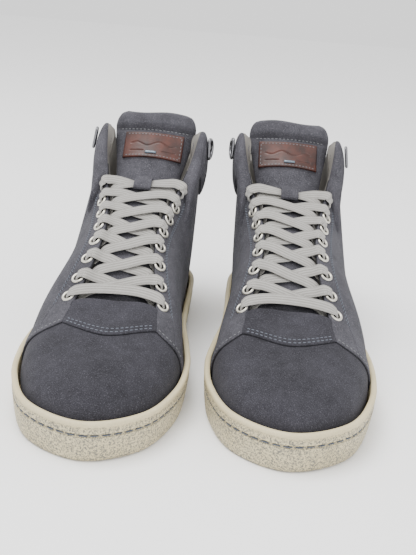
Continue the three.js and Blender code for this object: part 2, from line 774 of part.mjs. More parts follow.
function shoe(name, mirror) {
  const group = new THREE.Group();
  const add = (part, geometry, colour) => {
    const [hex, roughness, metalness] = colours[colour];
    const shape = geometry.index ? geometry.clone() : mergeVertices(geometry.clone());
    Object.keys(shape.attributes).forEach((key) => key !== 'position' && shape.deleteAttribute(key));
    const body = mergeVertices(shape, 1e-3);
    if (mirror) {
      body.scale(-1, 1, 1);
      body.setIndex(Array.from(body.index.array).reverse());
    }
    const mesh = new THREE.Mesh(body, new THREE.MeshStandardMaterial({ color: hex, roughness, metalness }));
    mesh.name = `${name}_${part}`;
    group.add(mesh);
  };
  const floor = outsoleFloor + gap;
  add('outsole', outsole(), 'rubber');
  add('sidewall_stitch', stitchRing(), 'thread');
  add('midsole', slab(0.2, floor, floor + midsoleThickness), 'foam');
  add('insole_board', slab(0.2, boardTop - boardThickness, boardTop), 'board');
  add('insole', slab(liningBack - 2, boardTop + gap, boardTop + gap + insoleThickness), 'leather');
  const toeColumns = stations(THROAT, LOOP - THROAT);
  add('toe_panel', panel(toeColumns, fromFeather, toRidge, 8, outerBack, outerFace), 'darkSuede');
  add('vamp_overlay', vampOverlay(), 'darkSuede');
  add('toe_puff', stiffenerPanel(puffStart, LOOP - puffStart, 4 / 3, 4), 'board');
  add('heel_counter', stiffenerPanel(-counterEnd, counterEnd, 0.5, 3), 'board');
  add('lining', innerLining(), 'leather');
  add('heel_patch', panel(stations(-HEEL, HEEL), fromFeather, quarterTop, 4, outerBack, outerFace), 'suede');
  add('heel_collar', collar(-HEEL, HEEL), 'suede');
  add('collar_lining', collarLining(), 'leather');
  ['lateral', 'medial'].forEach((side) => {
    const [low, high] = side === 'lateral' ? [HEEL, collarEnd] : [LOOP - collarEnd, LOOP - HEEL];
    add(`quarter_${side}`, quarter(side), 'suede');
    add(`eyestay_${side}`, eyestay(side), 'suede');
    add(`eyelet_row_${side}`, eyeletRow(side), 'metal');
    add(`collar_${side}`, collar(low, high), 'suede');
    add(`d_ring_${side}`, dRing(side), 'metal');
  });
  add('tongue_base', tongueBase(), 'suede');
  add('tongue_top', tongueUpper(), 'suede');
  add('tongue_label', label(), 'label');
  add('label_bar', labelBar(), 'metal');
  add('lace_keeper', keeper(), 'suede');
  add('lace', lace(), 'lace');
  return group;
}

const pair = new THREE.Group();
const rightShoe = shoe('right', false);
const leftShoe = shoe('left', true);
rightShoe.rotation.z = -THREE.MathUtils.degToRad(rightToeOut);
rightShoe.position.set(-shoeSpacing / 2, -leftShoeBack / 2, 0);
leftShoe.rotation.z = THREE.MathUtils.degToRad(leftToeOut);
leftShoe.position.set(shoeSpacing / 2, leftShoeBack / 2, 0);
pair.add(rightShoe, leftShoe);

export default pair;
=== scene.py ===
import math

import bmesh
import bpy
import numpy as np
from mathutils import Matrix, Vector


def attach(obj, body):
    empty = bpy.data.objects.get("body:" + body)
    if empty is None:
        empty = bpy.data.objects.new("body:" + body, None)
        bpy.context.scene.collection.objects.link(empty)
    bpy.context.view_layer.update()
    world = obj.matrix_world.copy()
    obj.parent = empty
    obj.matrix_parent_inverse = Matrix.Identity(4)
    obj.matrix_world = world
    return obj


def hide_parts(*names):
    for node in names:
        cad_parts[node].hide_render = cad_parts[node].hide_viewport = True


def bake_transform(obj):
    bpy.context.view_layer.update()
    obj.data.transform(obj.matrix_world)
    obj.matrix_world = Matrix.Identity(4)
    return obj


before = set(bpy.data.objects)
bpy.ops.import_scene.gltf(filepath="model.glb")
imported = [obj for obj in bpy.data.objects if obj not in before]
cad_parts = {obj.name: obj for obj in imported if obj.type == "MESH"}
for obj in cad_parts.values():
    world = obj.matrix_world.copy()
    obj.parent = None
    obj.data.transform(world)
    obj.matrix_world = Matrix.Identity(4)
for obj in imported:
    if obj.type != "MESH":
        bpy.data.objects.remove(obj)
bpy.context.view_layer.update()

# ------------------------------------------------------------------ camera, floor and light
# A long lens in front of the toes, a little above them and slightly tilted, over a white sweep.

CAMERA_PLACE = np.array([0.0003, -0.5945, 0.2627])
CAMERA_DOWN = math.radians(18.9)
CAMERA_ROLL = math.radians(4.87)
SENSOR_HEIGHT = 36
FOCAL_LENGTH = 60.4

ahead = np.array([0, math.cos(CAMERA_DOWN), -math.sin(CAMERA_DOWN)])
level = np.array([1.0, 0, 0])
upright = np.cross(level, ahead)
right = math.cos(CAMERA_ROLL) * level + math.sin(CAMERA_ROLL) * upright
top = math.cos(CAMERA_ROLL) * upright - math.sin(CAMERA_ROLL) * level
lens = bpy.data.cameras.new("studio_camera")
lens.sensor_width = SENSOR_HEIGHT
lens.lens = FOCAL_LENGTH
camera = bpy.data.objects.new("studio_camera", lens)
turned = Matrix(np.column_stack([right, top, -ahead]).tolist()).to_4x4()
camera.matrix_world = Matrix.Translation(Vector(CAMERA_PLACE)) @ turned
bpy.context.scene.collection.objects.link(camera)
bpy.context.scene.camera = camera


def linear(hex_colour):
    """An sRGB hex colour as linear RGBA, by the sRGB transfer curve."""
    raw = np.array([int(hex_colour[i:i + 2], 16) / 255 for i in (1, 3, 5)])
    value = np.where(raw <= 0.04045, raw / 12.92, ((raw + 0.055) / 1.055) ** 2.4)
    return (*value.tolist(), 1.0)


def add_node(tree, kind, settings=None, values=None, links=None):
    """Adds one shader node, sets its properties and input values, and links other outputs to its inputs."""
    node = tree.nodes.new(kind)
    for name, value in (settings or {}).items():
        setattr(node, name, value)
    for name, value in (values or {}).items():
        node.inputs[name].default_value = value
    for name, output in (links or {}).items():
        tree.links.new(output, node.inputs[name])
    return node


def new_material(name):
    """A material with an empty Principled surface: returns it, its tree and its shader."""
    material = bpy.data.materials.new(name)
    material.use_nodes = True
    tree = material.node_tree
    tree.nodes.clear()
    shader = add_node(tree, "ShaderNodeBsdfPrincipled")
    add_node(tree, "ShaderNodeOutputMaterial", links={"Surface": shader.outputs[0]})
    return material, tree, shader


def feed(tree, node, inputs):
    """Gives each input its value: a hex colour, a number, or another node's output to link."""
    for socket, value in inputs.items():
        if isinstance(value, bpy.types.NodeSocket):
            tree.links.new(value, node.inputs[socket])
        else:
            node.inputs[socket].default_value = linear(value) if isinstance(value, str) else value


def object_place(tree):
    """The piece's own coordinates, in metres."""
    return add_node(tree, "ShaderNodeTexCoord").outputs["Object"]


def noise(tree, place, scale, detail, roughness=0.5):
    """Fractal noise between 0 and 1."""
    values = {"Scale": scale, "Detail": detail, "Roughness": roughness}
    return add_node(tree, "ShaderNodeTexNoise", values=values, links={"Vector": place}).outputs[0]


def cells(tree, place, scale):
    """Distance to the nearest of scattered points."""
    texture = add_node(tree, "ShaderNodeTexVoronoi", values={"Scale": scale}, links={"Vector": place})
    return texture.outputs["Distance"]


def ranged(tree, value, low, high, to_low=0.0, to_high=1.0):
    """A value stretched from low..high to to_low..to_high, and held there beyond."""
    values = {"From Min": low, "From Max": high, "To Min": to_low, "To Max": to_high}
    return add_node(tree, "ShaderNodeMapRange", values=values, links={"Value": value}).outputs[0]


def maths(tree, operation, first, second=None):
    """One sum of two numbers, or of one for a sine or cosine."""
    node = add_node(tree, "ShaderNodeMath", settings={"operation": operation})
    feed(tree, node, {0: first} if second is None else {0: first, 1: second})
    return node.outputs[0]


def between(tree, share, first, second):
    """The number first turned into second by a share."""
    return add_node(tree, "ShaderNodeMix", settings={"data_type": "FLOAT"}, values={0: share},
                    links={2: first, 3: second}).outputs[0]


def mixed(tree, share, first, second, blend="MIX"):
    """The colour first turned into second by share, or multiplied by it."""
    node = add_node(tree, "ShaderNodeMix", settings={"data_type": "RGBA", "blend_type": blend})
    feed(tree, node, {0: share, 6: first, 7: second})
    return node.outputs[2]


def ramp(tree, value, low, high):
    """A colour ramp between two (position, hex colour) stops."""
    node = add_node(tree, "ShaderNodeValToRGB", links={0: value})
    for element, (position, colour) in zip(node.color_ramp.elements, (low, high)):
        element.position = position
        element.color = linear(colour)
    return node.outputs[0]


def surface(tree, shader, colour, height=None, strength=0.0, distance=0.0):
    """Links a colour to the shader, and a bump of the given strength and depth in metres."""
    feed(tree, shader, {"Base Color": colour})
    if height is not None:
        bump = add_node(tree, "ShaderNodeBump", values={"Strength": strength, "Distance": distance},
                        links={"Height": height})
        tree.links.new(bump.outputs[0], shader.inputs["Normal"])


sweep, _, sweep_shader = new_material("matt_white_paper")
sweep_shader.inputs["Base Color"].default_value = linear("#ffffff")
sweep_shader.inputs["Roughness"].default_value = 0.9
SWEEP_HALF = 3.0
floor_mesh = bpy.data.meshes.new("paper_floor")
corners = [(-1, -1), (1, -1), (1, 1), (-1, 1)]
floor_mesh.from_pydata([(x * SWEEP_HALF, y * SWEEP_HALF, -0.0004) for x, y in corners], [], [(0, 1, 2, 3)])
floor_mesh.materials.append(sweep)
floor = bpy.data.objects.new("paper_floor", floor_mesh)
bpy.context.scene.collection.objects.link(floor)

world = bpy.data.worlds.new("white_studio")
world.use_nodes = True
world.node_tree.nodes["Background"].inputs["Color"].default_value = linear("#ffffff")
world.node_tree.nodes["Background"].inputs["Strength"].default_value = 1.35
bpy.context.scene.world = world


def area_light(name, place, size, power):
    """A square soft box at place, facing the middle of the pair."""
    data = bpy.data.lights.new(name, "AREA")
    data.size = size
    data.energy = power
    light = bpy.data.objects.new(name, data)
    aim = Vector((0, 0, 0.06)) - Vector(place)
    light.matrix_world = Matrix.Translation(place) @ aim.to_track_quat("-Z", "Y").to_matrix().to_4x4()
    bpy.context.scene.collection.objects.link(light)


area_light("overhead_box", (-0.4, -0.2, 1.5), 1.0, 30)
area_light("front_box", (0.9, -1.3, 0.9), 0.8, 8)

# ------------------------------------------------------------------ the foot form
# The last that every piece of the upper is pulled over. A station c runs round it from the heel (0) to the
# toe (10) on the lateral side and back on the medial side, and v climbs from the sole (0) to the collar's
# or eyestay's edge (1) and on to the ridge (2). Each shoe is drawn as a right shoe in millimetres.

TOE, LOOP = 10, 20
HALF_LENGTH, HALF_WIDTH = 145.5, 50.5
FEATHER_HEIGHT, EAR_HEIGHT = 17.1, 145.0
RISE = EAR_HEIGHT - FEATHER_HEIGHT
SPACING = 108.5
SET_BACK = 7.0
TOE_OUT = {"right": math.radians(2.5), "left": math.radians(-0.6)}
THROAT, TAB, HEEL_SEAM = 7.5, 4.85, 1.4
SHOES = ("right", "left")

feather_plan = np.array([
    (1.0, 0, 0), (0.94, 0.4, 0.4), (0.77, 0.66, 0.64), (0.52, 0.75, 0.69), (0.27, 0.83, 0.7),
    (0.03, 0.93, 0.73), (-0.2, 1.02, 0.83), (-0.43, 1.02, 0.9), (-0.67, 0.91, 0.84),
    (-0.89, 0.61, 0.57), (-1.0, 0, 0)])
edge_plan = np.array([
    (1.0, 0, 0.83, 0), (0.95, 0.39, 0.82, 0.05), (0.8, 0.61, 0.81, 0.08), (0.63, 0.69, 0.88, 0.09),
    (0.48, 0.68, 1.0, 0.09), (0.32, 0.53, 0.74, 0.05), (-0.02, 0.35, 0.56, 0.03), (-0.385, 0.5, 0.31, 0.03),
    (-0.61, 0.57, 0.21, 0.01), (-0.81, 0.33, 0.17, 0), (-0.93, 0, 0.14, 0)])
ridge_plan = np.array([
    (0.32, 0.77, 0.05), (0.32, 0.77, 0.05), (0.32, 0.77, 0.05), (0.32, 0.77, 0.05), (0.32, 0.77, 0.05),
    (0.32, 0.77, 0.05), (-0.02, 0.585, 0.03), (-0.375, 0.33, 0.03), (-0.605, 0.238, 0.01), (-0.765, 0.2, 0),
    (-0.84, 0.178, 0)])

station = np.arange(LOOP)
row = np.minimum(station, LOOP - station)
side = np.where(station <= TOE, -1, 1)
half_width = np.where(side < 0, feather_plan[row, 1], feather_plan[row, 2])
feather_loop = np.column_stack([
    side * HALF_WIDTH * half_width, HALF_LENGTH * feather_plan[row, 0], np.full(LOOP, FEATHER_HEIGHT)])
edge_loop = np.column_stack([
    HALF_WIDTH * (side * edge_plan[row, 1] + edge_plan[row, 3]), HALF_LENGTH * edge_plan[row, 0],
    FEATHER_HEIGHT + RISE * edge_plan[row, 2]])
ridge_loop = np.column_stack([
    HALF_WIDTH * ridge_plan[row, 2], HALF_LENGTH * ridge_plan[row, 0],
    FEATHER_HEIGHT + RISE * ridge_plan[row, 1]])


def on_loop(loop, c):
    """A closed uniform Catmull-Rom curve through the loop's points, at station c."""
    k = np.floor(c).astype(int)
    t = (c - k)[..., None]
    weights = ((-t + 2 * t**2 - t**3) / 2, (2 - 5 * t**2 + 3 * t**3) / 2,
               (t + 4 * t**2 - 3 * t**3) / 2, (-t**2 + t**3) / 2)
    return sum(w * loop[(k + j - 1) % LOOP] for j, w in enumerate(weights))


def unit(vectors):
    """Vectors divided by their length."""
    return vectors / np.maximum(np.linalg.norm(vectors, axis=-1, keepdims=True), 1e-9)


def smooth(x, low, high):
    """0 below low, 1 above high, and 3t^2 - 2t^3 between."""
    t = np.clip((x - low) / (high - low), 0, 1)
    return t * t * (3 - 2 * t)


def outward_in_plan(c):
    """The level direction out of the feather line: its tangent turned a quarter turn."""
    along = on_loop(feather_loop, c + 0.05) - on_loop(feather_loop, c - 0.05)
    return unit(np.stack([along[..., 1], -along[..., 0], 0 * along[..., 0]], -1))


def hermite(a, tangent_a, b, tangent_b, t):
    """The cubic from a to b that leaves along tangent_a and arrives along tangent_b."""
    return ((2 * t**3 - 3 * t**2 + 1) * a + (t**3 - 2 * t**2 + t) * tangent_a
            + (3 * t**2 - 2 * t**3) * b + (t**3 - t**2) * tangent_b)


def form(c, v):
    """The foot form: one cubic from the feather line to the edge line, and a second on to the ridge."""
    c, v = np.broadcast_arrays(np.asarray(c, float), np.asarray(v, float))
    share = smooth(steps_from_heel(c % LOOP), 4.6, 6.8)[..., None]
    feather, edge, ridge = (on_loop(loop, c) for loop in (feather_loop, edge_loop, ridge_loop))
    span = edge - feather
    level_part = span * [1, 1, 0]
    rise = span * [0, 0, 1]
    leave = outward_in_plan(c) * span[..., 2:] * (0.1 + 0.06 * share) + rise * (1 + 0.7 * share)
    arrive = rise * (0.9 - 0.45 * share) + level_part * (1 + 0.35 * share)
    rest = ridge - edge
    onward = arrive * np.linalg.norm(rest, axis=-1, keepdims=True)
    onward = onward / np.maximum(np.linalg.norm(arrive, axis=-1, keepdims=True), 1e-9)
    t = v[..., None]
    low = hermite(feather, leave, edge, arrive, np.minimum(t, 1))
    high = hermite(edge, onward, ridge, rest * [1, 0, 0], np.clip(t - 1, 0, 1))
    return np.where(t <= 1, low, high)


def steps_from_heel(c):
    """Stations from the heel on either side: c up to the toe, LOOP - c beyond it."""
    return np.where(c <= TOE, c, LOOP - c)


def shifted(c, v):
    """Stations near the throat, moved so that the toe seam leaves the sole further back and dips forward over
    the ridge: c + near * (0.42 over (2 - over) - 0.26 (1 - smooth(v, 0, 0.9))) with over = v - 1 between 0
    and 1, mirrored on the medial side."""
    c, v = np.broadcast_arrays(np.asarray(c, float), np.asarray(v, float))
    from_heel = steps_from_heel(c)
    near = smooth(from_heel, THROAT - 0.55, THROAT) * (1 - smooth(from_heel, THROAT, THROAT + 1.3))
    over = np.clip(v - 1, 0, 1)
    shift = 0.42 * over * (2 - over) - 0.26 * (1 - smooth(v, 0, 0.9))
    return c + np.where(c <= TOE, shift, -shift) * near


def slope_normal(c, v):
    """The outward normal of the form, from the cross product of its two slopes."""
    step = 0.02
    along = form(c + step, v) - form(c - step, v)
    up = form(c, v + step) - form(c, np.maximum(v - step, 0))
    return unit(np.cross(along, up))


def normal_at(c, v):
    """The form's outward normal, upright across the ridge."""
    c, v = np.broadcast_arrays(np.asarray(c, float), np.asarray(v, float))
    w = np.minimum(v, 1.96)
    own = slope_normal(c, w)
    shared = unit((own + slope_normal(LOOP - c, w)) * [0, 1, 1])
    blend = smooth(v, 1.85, 1.999)[..., None]
    return unit(own * (1 - blend) + shared * blend)


def lifted(c, v, offset):
    """The form's surface moved out by an offset in millimetres."""
    station = shifted(c, v)
    return form(station, v) + normal_at(station, v) * np.asarray(offset, float)[..., None]


def column_length(c):
    """Length of the line from the feather line to the edge line at station c."""
    steps = form(np.asarray(c, float)[..., None], np.linspace(0, 1, 9))
    return np.linalg.norm(np.diff(steps, axis=-2), axis=-1).sum(-1)


def below_edge(c, distance):
    """The v of a line that lies that many millimetres below the edge line."""
    return 1 - distance / column_length(c)


def on_floor(points, shoe):
    """Shoe millimetres to the frame's metres: the left shoe is mirrored, then each is turned and placed."""
    hand = -1 if shoe == "left" else 1
    x, y, z = points[..., 0] * hand, points[..., 1], points[..., 2]
    turn = -TOE_OUT[shoe] * hand
    placed = np.stack([x * math.cos(turn) - y * math.sin(turn) - hand * SPACING / 2,
                       x * math.sin(turn) + y * math.cos(turn) - hand * SET_BACK / 2, z], -1)
    return placed / 1000


def finish_mesh(name, shoe, vertices, faces, material, attributes=None, uv=None, sharp=50):
    """Puts arrays into a mesh in the frame, with faces out, smooth shading and its material."""
    mesh = bpy.data.meshes.new(name)
    points = on_floor(np.asarray(vertices, float), shoe)
    mesh.from_pydata(points.tolist(), [], faces if isinstance(faces, list) else faces.tolist())
    for key, values in (attributes or {}).items():
        mesh.attributes.new(key, "FLOAT", "POINT").data.foreach_set("value", np.asarray(values, np.float32))
    if uv is not None:
        loops = np.empty(len(mesh.loops), np.int32)
        mesh.loops.foreach_get("vertex_index", loops)
        mesh.uv_layers.new(name="cloth").data.foreach_set("uv", np.asarray(uv, np.float32)[loops].ravel())
    work = bmesh.new()
    work.from_mesh(mesh)
    if work.calc_volume(signed=True) < 0:
        bmesh.ops.reverse_faces(work, faces=work.faces)
    work.to_mesh(mesh)
    work.free()
    mesh.shade_smooth()
    mesh.set_sharp_from_angle(angle=math.radians(sharp))
    mesh.materials.append(material)
    piece = bpy.data.objects.new(name, mesh)
    bpy.context.scene.collection.objects.link(piece)
    return piece


def welded(piece):
    """The piece with points that coincide joined, so that no face is left without area."""
    work = bmesh.new()
    work.from_mesh(piece.data)
    bmesh.ops.remove_doubles(work, verts=work.verts, dist=2e-5)
    work.to_mesh(piece.data)
    work.free()
    return piece


def sheet(name, shoe, outer, inner, material, painted_shade=None, sharp=50):
    """A closed sheet as a finished piece; the argument before sharp sets how strongly its edges and inner
    face are painted near-black, as painted shade.
    """
    vertices, faces, shade_share = closed_sheet(outer, inner)
    attributes = None if painted_shade is None else {"painted_shade_share": shade_share * painted_shade}
    return finish_mesh(name, shoe, vertices, faces, material, attributes, sharp=sharp)


def tube_faces(rings, sides, closed=False):
    """Quads of a tube: rings of points joined one to the next and, if closed, the last to the first."""
    i, j = np.meshgrid(np.arange(rings if closed else rings - 1), np.arange(sides), indexing="ij")
    here, there = i * sides, (i + 1) % rings * sides
    after = (j + 1) % sides
    return np.stack([here + j, here + after, there + after, there + j], -1).reshape(-1, 4)


def closed_sheet(outer, inner):
    """A sheet with thickness from two grids of points: both faces, and a wall along each free edge.
    Points of the outer grid that meet are welded, so a sheet may fold back to itself on the ridge."""
    n, m = outer.shape[:2]
    rounded = np.round(outer.reshape(-1, 3), 2)
    _, first, ids = np.unique(rounded, axis=0, return_index=True, return_inverse=True)
    ids = ids.reshape(n, m)
    quads = np.stack([ids[:-1, :-1], ids[1:, :-1], ids[1:, 1:], ids[:-1, 1:]], -1).reshape(-1, 4)
    faces = np.concatenate([quads[:, [0, 1, 2]], quads[:, [0, 2, 3]]])
    keep = (faces[:, 0] != faces[:, 1]) & (faces[:, 1] != faces[:, 2]) & (faces[:, 2] != faces[:, 0])
    faces = faces[keep]
    count = len(first)
    edges = np.concatenate([faces[:, [0, 1]], faces[:, [1, 2]], faces[:, [2, 0]]])
    free = ~np.isin(edges[:, 1] * count + edges[:, 0], edges[:, 0] * count + edges[:, 1])
    a, b = edges[free].T
    walls = np.concatenate([np.stack([b, a, a + count], -1), np.stack([b, a + count, b + count], -1)])
    vertices = np.concatenate([outer.reshape(-1, 3)[first], inner.reshape(-1, 3)[first]])
    # painted shade share: 1 on the inner face and 0.5 on the outer points of the free edges, for the suede to
    # paint near-black
    shade_share = np.concatenate([np.zeros(count), np.ones(count)])
    shade_share[np.unique(a)] = 0.5
    return vertices, np.concatenate([faces, faces[:, ::-1] + count, walls]), shade_share


def fine(start, stop, steps, margin):
    """Evenly spaced values with four closer ones at each end, for a rounded edge margin wide."""
    near = np.array([0, 0.12, 0.35, 0.65]) * margin
    middle = np.linspace(start + margin, stop - margin, steps)
    return np.concatenate([start + near, middle, stop - near[::-1]])


def edge_drop(distance, radius):
    """How far a rounded edge falls away: a quarter circle of that radius."""
    inside = np.clip(radius - distance, 0, radius)
    return radius - np.sqrt(np.maximum(radius**2 - inside**2, 0))


STATION_LENGTH = 34.0  # millimetres of the form's surface per station, about


def panel_grids(stations, low, high, steps, thickness, lift=None, roundness=0.7):
    """Outer and inner grids of a leather panel: v from low(c) to high(c), with rounded outer edges."""
    c = stations[:, None]
    bottom, top_line = low(stations)[:, None], high(stations)[:, None]
    length = column_length(stations)[:, None]
    share = fine(0, 1, steps, 0.02)[None, :]
    v = bottom + (top_line - bottom) * share
    c = np.broadcast_to(c, v.shape)
    ends = np.minimum(c - stations[0], stations[-1] - c) * STATION_LENGTH
    sides = np.minimum(v - bottom, top_line - v) * length
    drop = edge_drop(np.minimum(ends, sides), roundness)
    raised = lift(c, v) if lift else 0 * v
    return lifted(c, v, raised - drop), lifted(c, v, raised - thickness), c, v


# ------------------------------------------------------------------ suede
# Split cowhide, brushed to a nap on both faces and dyed through in blue grey. The nap breaks the light into
# pale fibre ends, lies in patches that read lighter or darker, and darkens where it is rubbed flat.


def suede(name, dark, mid, pale):
    """Nap in three sizes: hand-sized patches, finger marks and single fibre clumps under a millimetre."""
    material, tree, shader = new_material(name)
    place = object_place(tree)
    patch = noise(tree, place, 28, 3, 0.55)
    smear = noise(tree, place, 140, 4, 0.65)
    fibre = noise(tree, place, 1500, 3, 0.7)
    tone = ramp(tree, between(tree, 0.45, patch, smear), (0.3, dark), (0.68, mid))
    tipped = mixed(tree, ranged(tree, fibre, 0.55, 0.85), tone, pale)
    # painted shade: where the fibre noise is low, between the fibre clumps and where the bump sinks, the
    # colour is multiplied down to 0.62
    fibre_shaded = mixed(tree, 1.0, tipped, ranged(tree, fibre, 0.3, 0.46, 0.62), "MULTIPLY")
    # painted shade: each sheet's inner face and edge walls are mixed towards near-black #131315, painted
    # shade on the edges and inside the shoe, though the suede is the same blue grey through
    painted_shade = add_node(tree, "ShaderNodeAttribute", settings={"attribute_name": "painted_shade_share"})
    surface(tree, shader, mixed(tree, painted_shade.outputs["Fac"], fibre_shaded, "#131315"),
            between(tree, 0.35, fibre, smear), 0.9, 0.0006)
    shader.inputs["Roughness"].default_value = 0.95
    shader.inputs["Specular IOR Level"].default_value = 0.15
    shader.inputs["Sheen Weight"].default_value = 0.1
    shader.inputs["Sheen Roughness"].default_value = 0.55
    shader.inputs["Sheen Tint"].default_value = linear("#a6a7ac")
    return material


body_suede = suede("brushed_suede_blue_grey", "#302f33", "#504f55", "#85848c")
toe_suede = suede("brushed_suede_charcoal", "#252428", "#3a393f", "#64636b")

# ------------------------------------------------------------------ stitches
# Twisted polyester thread in a lockstitch: each stitch stands up from the nap as a short, tight bead and
# dips into its needle holes at both ends.


def thread(name, colour, roughness):
    """Spun thread, its plies a fine unevenness."""
    material, tree, shader = new_material(name)
    surface(tree, shader, colour, noise(tree, object_place(tree), 2500, 2), 0.5, 0.0002)
    shader.inputs["Roughness"].default_value = roughness
    return material


thread_light = thread("polyester_thread_pale_blue", "#5a5f69", 0.6)
thread_dark = thread("waxed_thread_slate", "#4a5260", 0.5)
thread_tan = thread("polyester_thread_grey", "#6f7073", 0.6)


def stitch_arrays(path, normals, length, space, radius):
    """Beads along a path: each is an ellipsoid length long, centred every length + space of arc."""
    run = np.concatenate([[0], np.cumsum(np.linalg.norm(np.diff(path, axis=0), axis=1))])
    count = max(int(run[-1] // (length + space)), 1)
    middle = (np.arange(count) + 0.5) * run[-1] / count
    at = np.stack([np.interp(middle, run, path[:, k]) for k in range(3)], -1)
    ahead_of = np.stack([np.interp(middle + 0.5, run, path[:, k]) for k in range(3)], -1)
    behind = np.stack([np.interp(middle - 0.5, run, path[:, k]) for k in range(3)], -1)
    out = unit(np.stack([np.interp(middle, run, normals[:, k]) for k in range(3)], -1))
    along = unit(ahead_of - behind)
    across = unit(np.cross(out, along))
    turns, rings = 7, 5
    around = np.linspace(0, 2 * np.pi, turns, endpoint=False)
    slope = np.linspace(0, np.pi, rings)
    ball = np.stack(np.broadcast_arrays(
        -np.cos(slope)[:, None] * length / 2, np.sin(slope)[:, None] ** 0.6 * radius * np.cos(around),
        np.sin(slope)[:, None] ** 0.6 * radius * np.sin(around)), -1).reshape(-1, 3)
    axes = np.stack([along, across, out], 1)
    vertices = at[:, None, :] + np.einsum("pk,skj->spj", ball, axes)
    faces = (np.arange(count)[:, None, None] * len(ball) + tube_faces(rings, turns)).reshape(-1, 4)
    return vertices.reshape(-1, 3), faces


def sew(name, shoe, body, lines, material, length=2.2, space=0.7, radius=0.34):
    """One piece of stitches along several lines, each a pair of path and normals."""
    parts = [stitch_arrays(path, normals, length, space, radius) for path, normals in lines]
    starts = np.cumsum([0] + [len(v) for v, _ in parts[:-1]])
    vertices = np.concatenate([v for v, _ in parts])
    faces = np.concatenate([f + s for (_, f), s in zip(parts, starts)])
    piece = welded(finish_mesh(f"{shoe}_{name}", shoe, vertices, faces, material))
    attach(piece, f"{shoe}_{body}")
    return piece


def seam(c, v, offset):
    """A stitch path over the form through stations c at heights v, with its normals."""
    c, v = np.broadcast_arrays(np.asarray(c, float), np.asarray(v, float))
    return lifted(c, v, np.full(c.shape, offset)), normal_at(shifted(c, v), v)


# ------------------------------------------------------------------ cup sole
# One moulded cup of cream natural rubber with grey fleck: a stippled sidewall that leans in to the ground,
# a smoother rolled rim above it, a sunk stitch channel round the wall and a zigzag tread.

RIM_OUT = 5.45
CHANNEL_HEIGHT = 16.6
CHANNEL_DEPTH = 0.9
SOLE_FLOOR = 7.0

rubber, rubber_tree, rubber_shader = new_material("moulded_rubber_cream_fleck")
rubber_place = object_place(rubber_tree)
height_of = add_node(rubber_tree, "ShaderNodeSeparateXYZ", links={0: rubber_place}).outputs[2]
wall_part = ranged(rubber_tree, height_of, 0.0205, 0.0225, 1, 0.12)
fleck_part = ranged(rubber_tree, noise(rubber_tree, rubber_place, 900, 3, 0.8), 0.45, 0.58)
cream = mixed(rubber_tree, noise(rubber_tree, rubber_place, 45, 2), "#d8cca8", "#c4b58c")
flecked = mixed(rubber_tree, maths(rubber_tree, "MULTIPLY", fleck_part, wall_part), cream, "#6c6a62")
pebble = maths(rubber_tree, "MULTIPLY", cells(rubber_tree, rubber_place, 900), wall_part)
surface(rubber_tree, rubber_shader, flecked, pebble, 0.7, 0.0005)
rubber_shader.inputs["Roughness"].default_value = 0.62
rubber_shader.inputs["IOR"].default_value = 1.52


def sole_ring(c, offset, height):
    """The feather line moved out level by offset, at a height."""
    points = on_loop(feather_loop, c) + outward_in_plan(c) * offset
    points[..., 2] = height
    return points


angle = np.linspace(-0.5, 0.5, 7) * np.pi
channel = [(5.05 - CHANNEL_DEPTH * math.cos(a), CHANNEL_HEIGHT + 1.1 * math.sin(a)) for a in angle]
bead = [(3.9 + (RIM_OUT - 3.9) * math.cos(a), 22.9 + 1.7 * math.sin(a)) for a in np.linspace(-0.9, 1.57, 9)]
wall_profile = np.array(
    [(0.9, 0.0), (2.2, 0.25), (2.9, 0.9), (3.3, 2.0), (3.9, 5.5), (4.4, 9.5), (4.8, 13.5), (5.0, 15.2)]
    + channel + [(5.1, 18.2), (5.15, 20.2), (4.95, 21.0)] + bead
    + [(2.6, 24.5), (1.9, 23.9), (1.6, 22.0), (1.1, FEATHER_HEIGHT), (0.5, SOLE_FLOOR)])
around = np.linspace(0, LOOP, 401)[:-1]


def on_spine(ring):
    """A ring pressed on to the centre line: each point takes the mean place of itself and its opposite."""
    opposite = np.roll(ring[::-1], 1, axis=0)
    return (ring + opposite) / 2 * [0, 1, 1]


def tread(shoe_points, share):
    """Zigzag ribs: the ground face steps up 1.4 mm between ribs, and stays flat round its rim."""
    x, y = shoe_points[..., 0], shoe_points[..., 1]
    wave = (y + 5.0 * np.abs((x / 11.0) % 2 - 1)) / 8.0
    rib = smooth(np.abs(wave % 1 - 0.5), 0.2, 0.27)
    return 1.4 * (1 - rib) * smooth(share, 0.03, 0.06)


for shoe in SHOES:
    rings = [sole_ring(around, offset, height) for offset, height in wall_profile]
    ground, inside = rings[0], rings[-1]
    shares = np.linspace(0, 1, 40)[1:]
    spine = on_spine(ground)
    spine[:, 1] = np.clip(spine[:, 1], -105, 118)
    cap = [ground + (spine - ground) * s for s in shares]
    for ring, s in zip(cap, shares):
        ring[:, 2] = tread(ring, s)
    well = [inside + (on_spine(inside) - inside) * s for s in (0.5, 1.0)]
    stack = np.array(cap[::-1] + rings + well)
    faces = tube_faces(*stack.shape[:2])
    sole = welded(finish_mesh(f"{shoe}_cup_sole", shoe, stack.reshape(-1, 3), faces, rubber, sharp=40))
    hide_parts(f"{shoe}_outsole")
    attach(sole, f"{shoe}_shoe")
    path = sole_ring(np.linspace(0, LOOP, 801), 4.55, CHANNEL_HEIGHT)
    stitching = sew("sidewall_stitching", shoe, "shoe", [(path, outward_in_plan(np.linspace(0, LOOP, 801)))],
                    thread_dark, length=5.4, space=1.1, radius=0.42)
    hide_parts(f"{shoe}_sidewall_stitch")

# ------------------------------------------------------------------ toe panel and vamp overlay
# The toe is one piece of charcoal suede lasted over a puff. A second piece is laid over its rear edge and
# held by a double row of stitches that dips towards the toe in the middle.

SUEDE_THICKNESS = 1.5
TOE_LAP = 0.22  # stations that the toe panel runs on under the overlay and the quarters


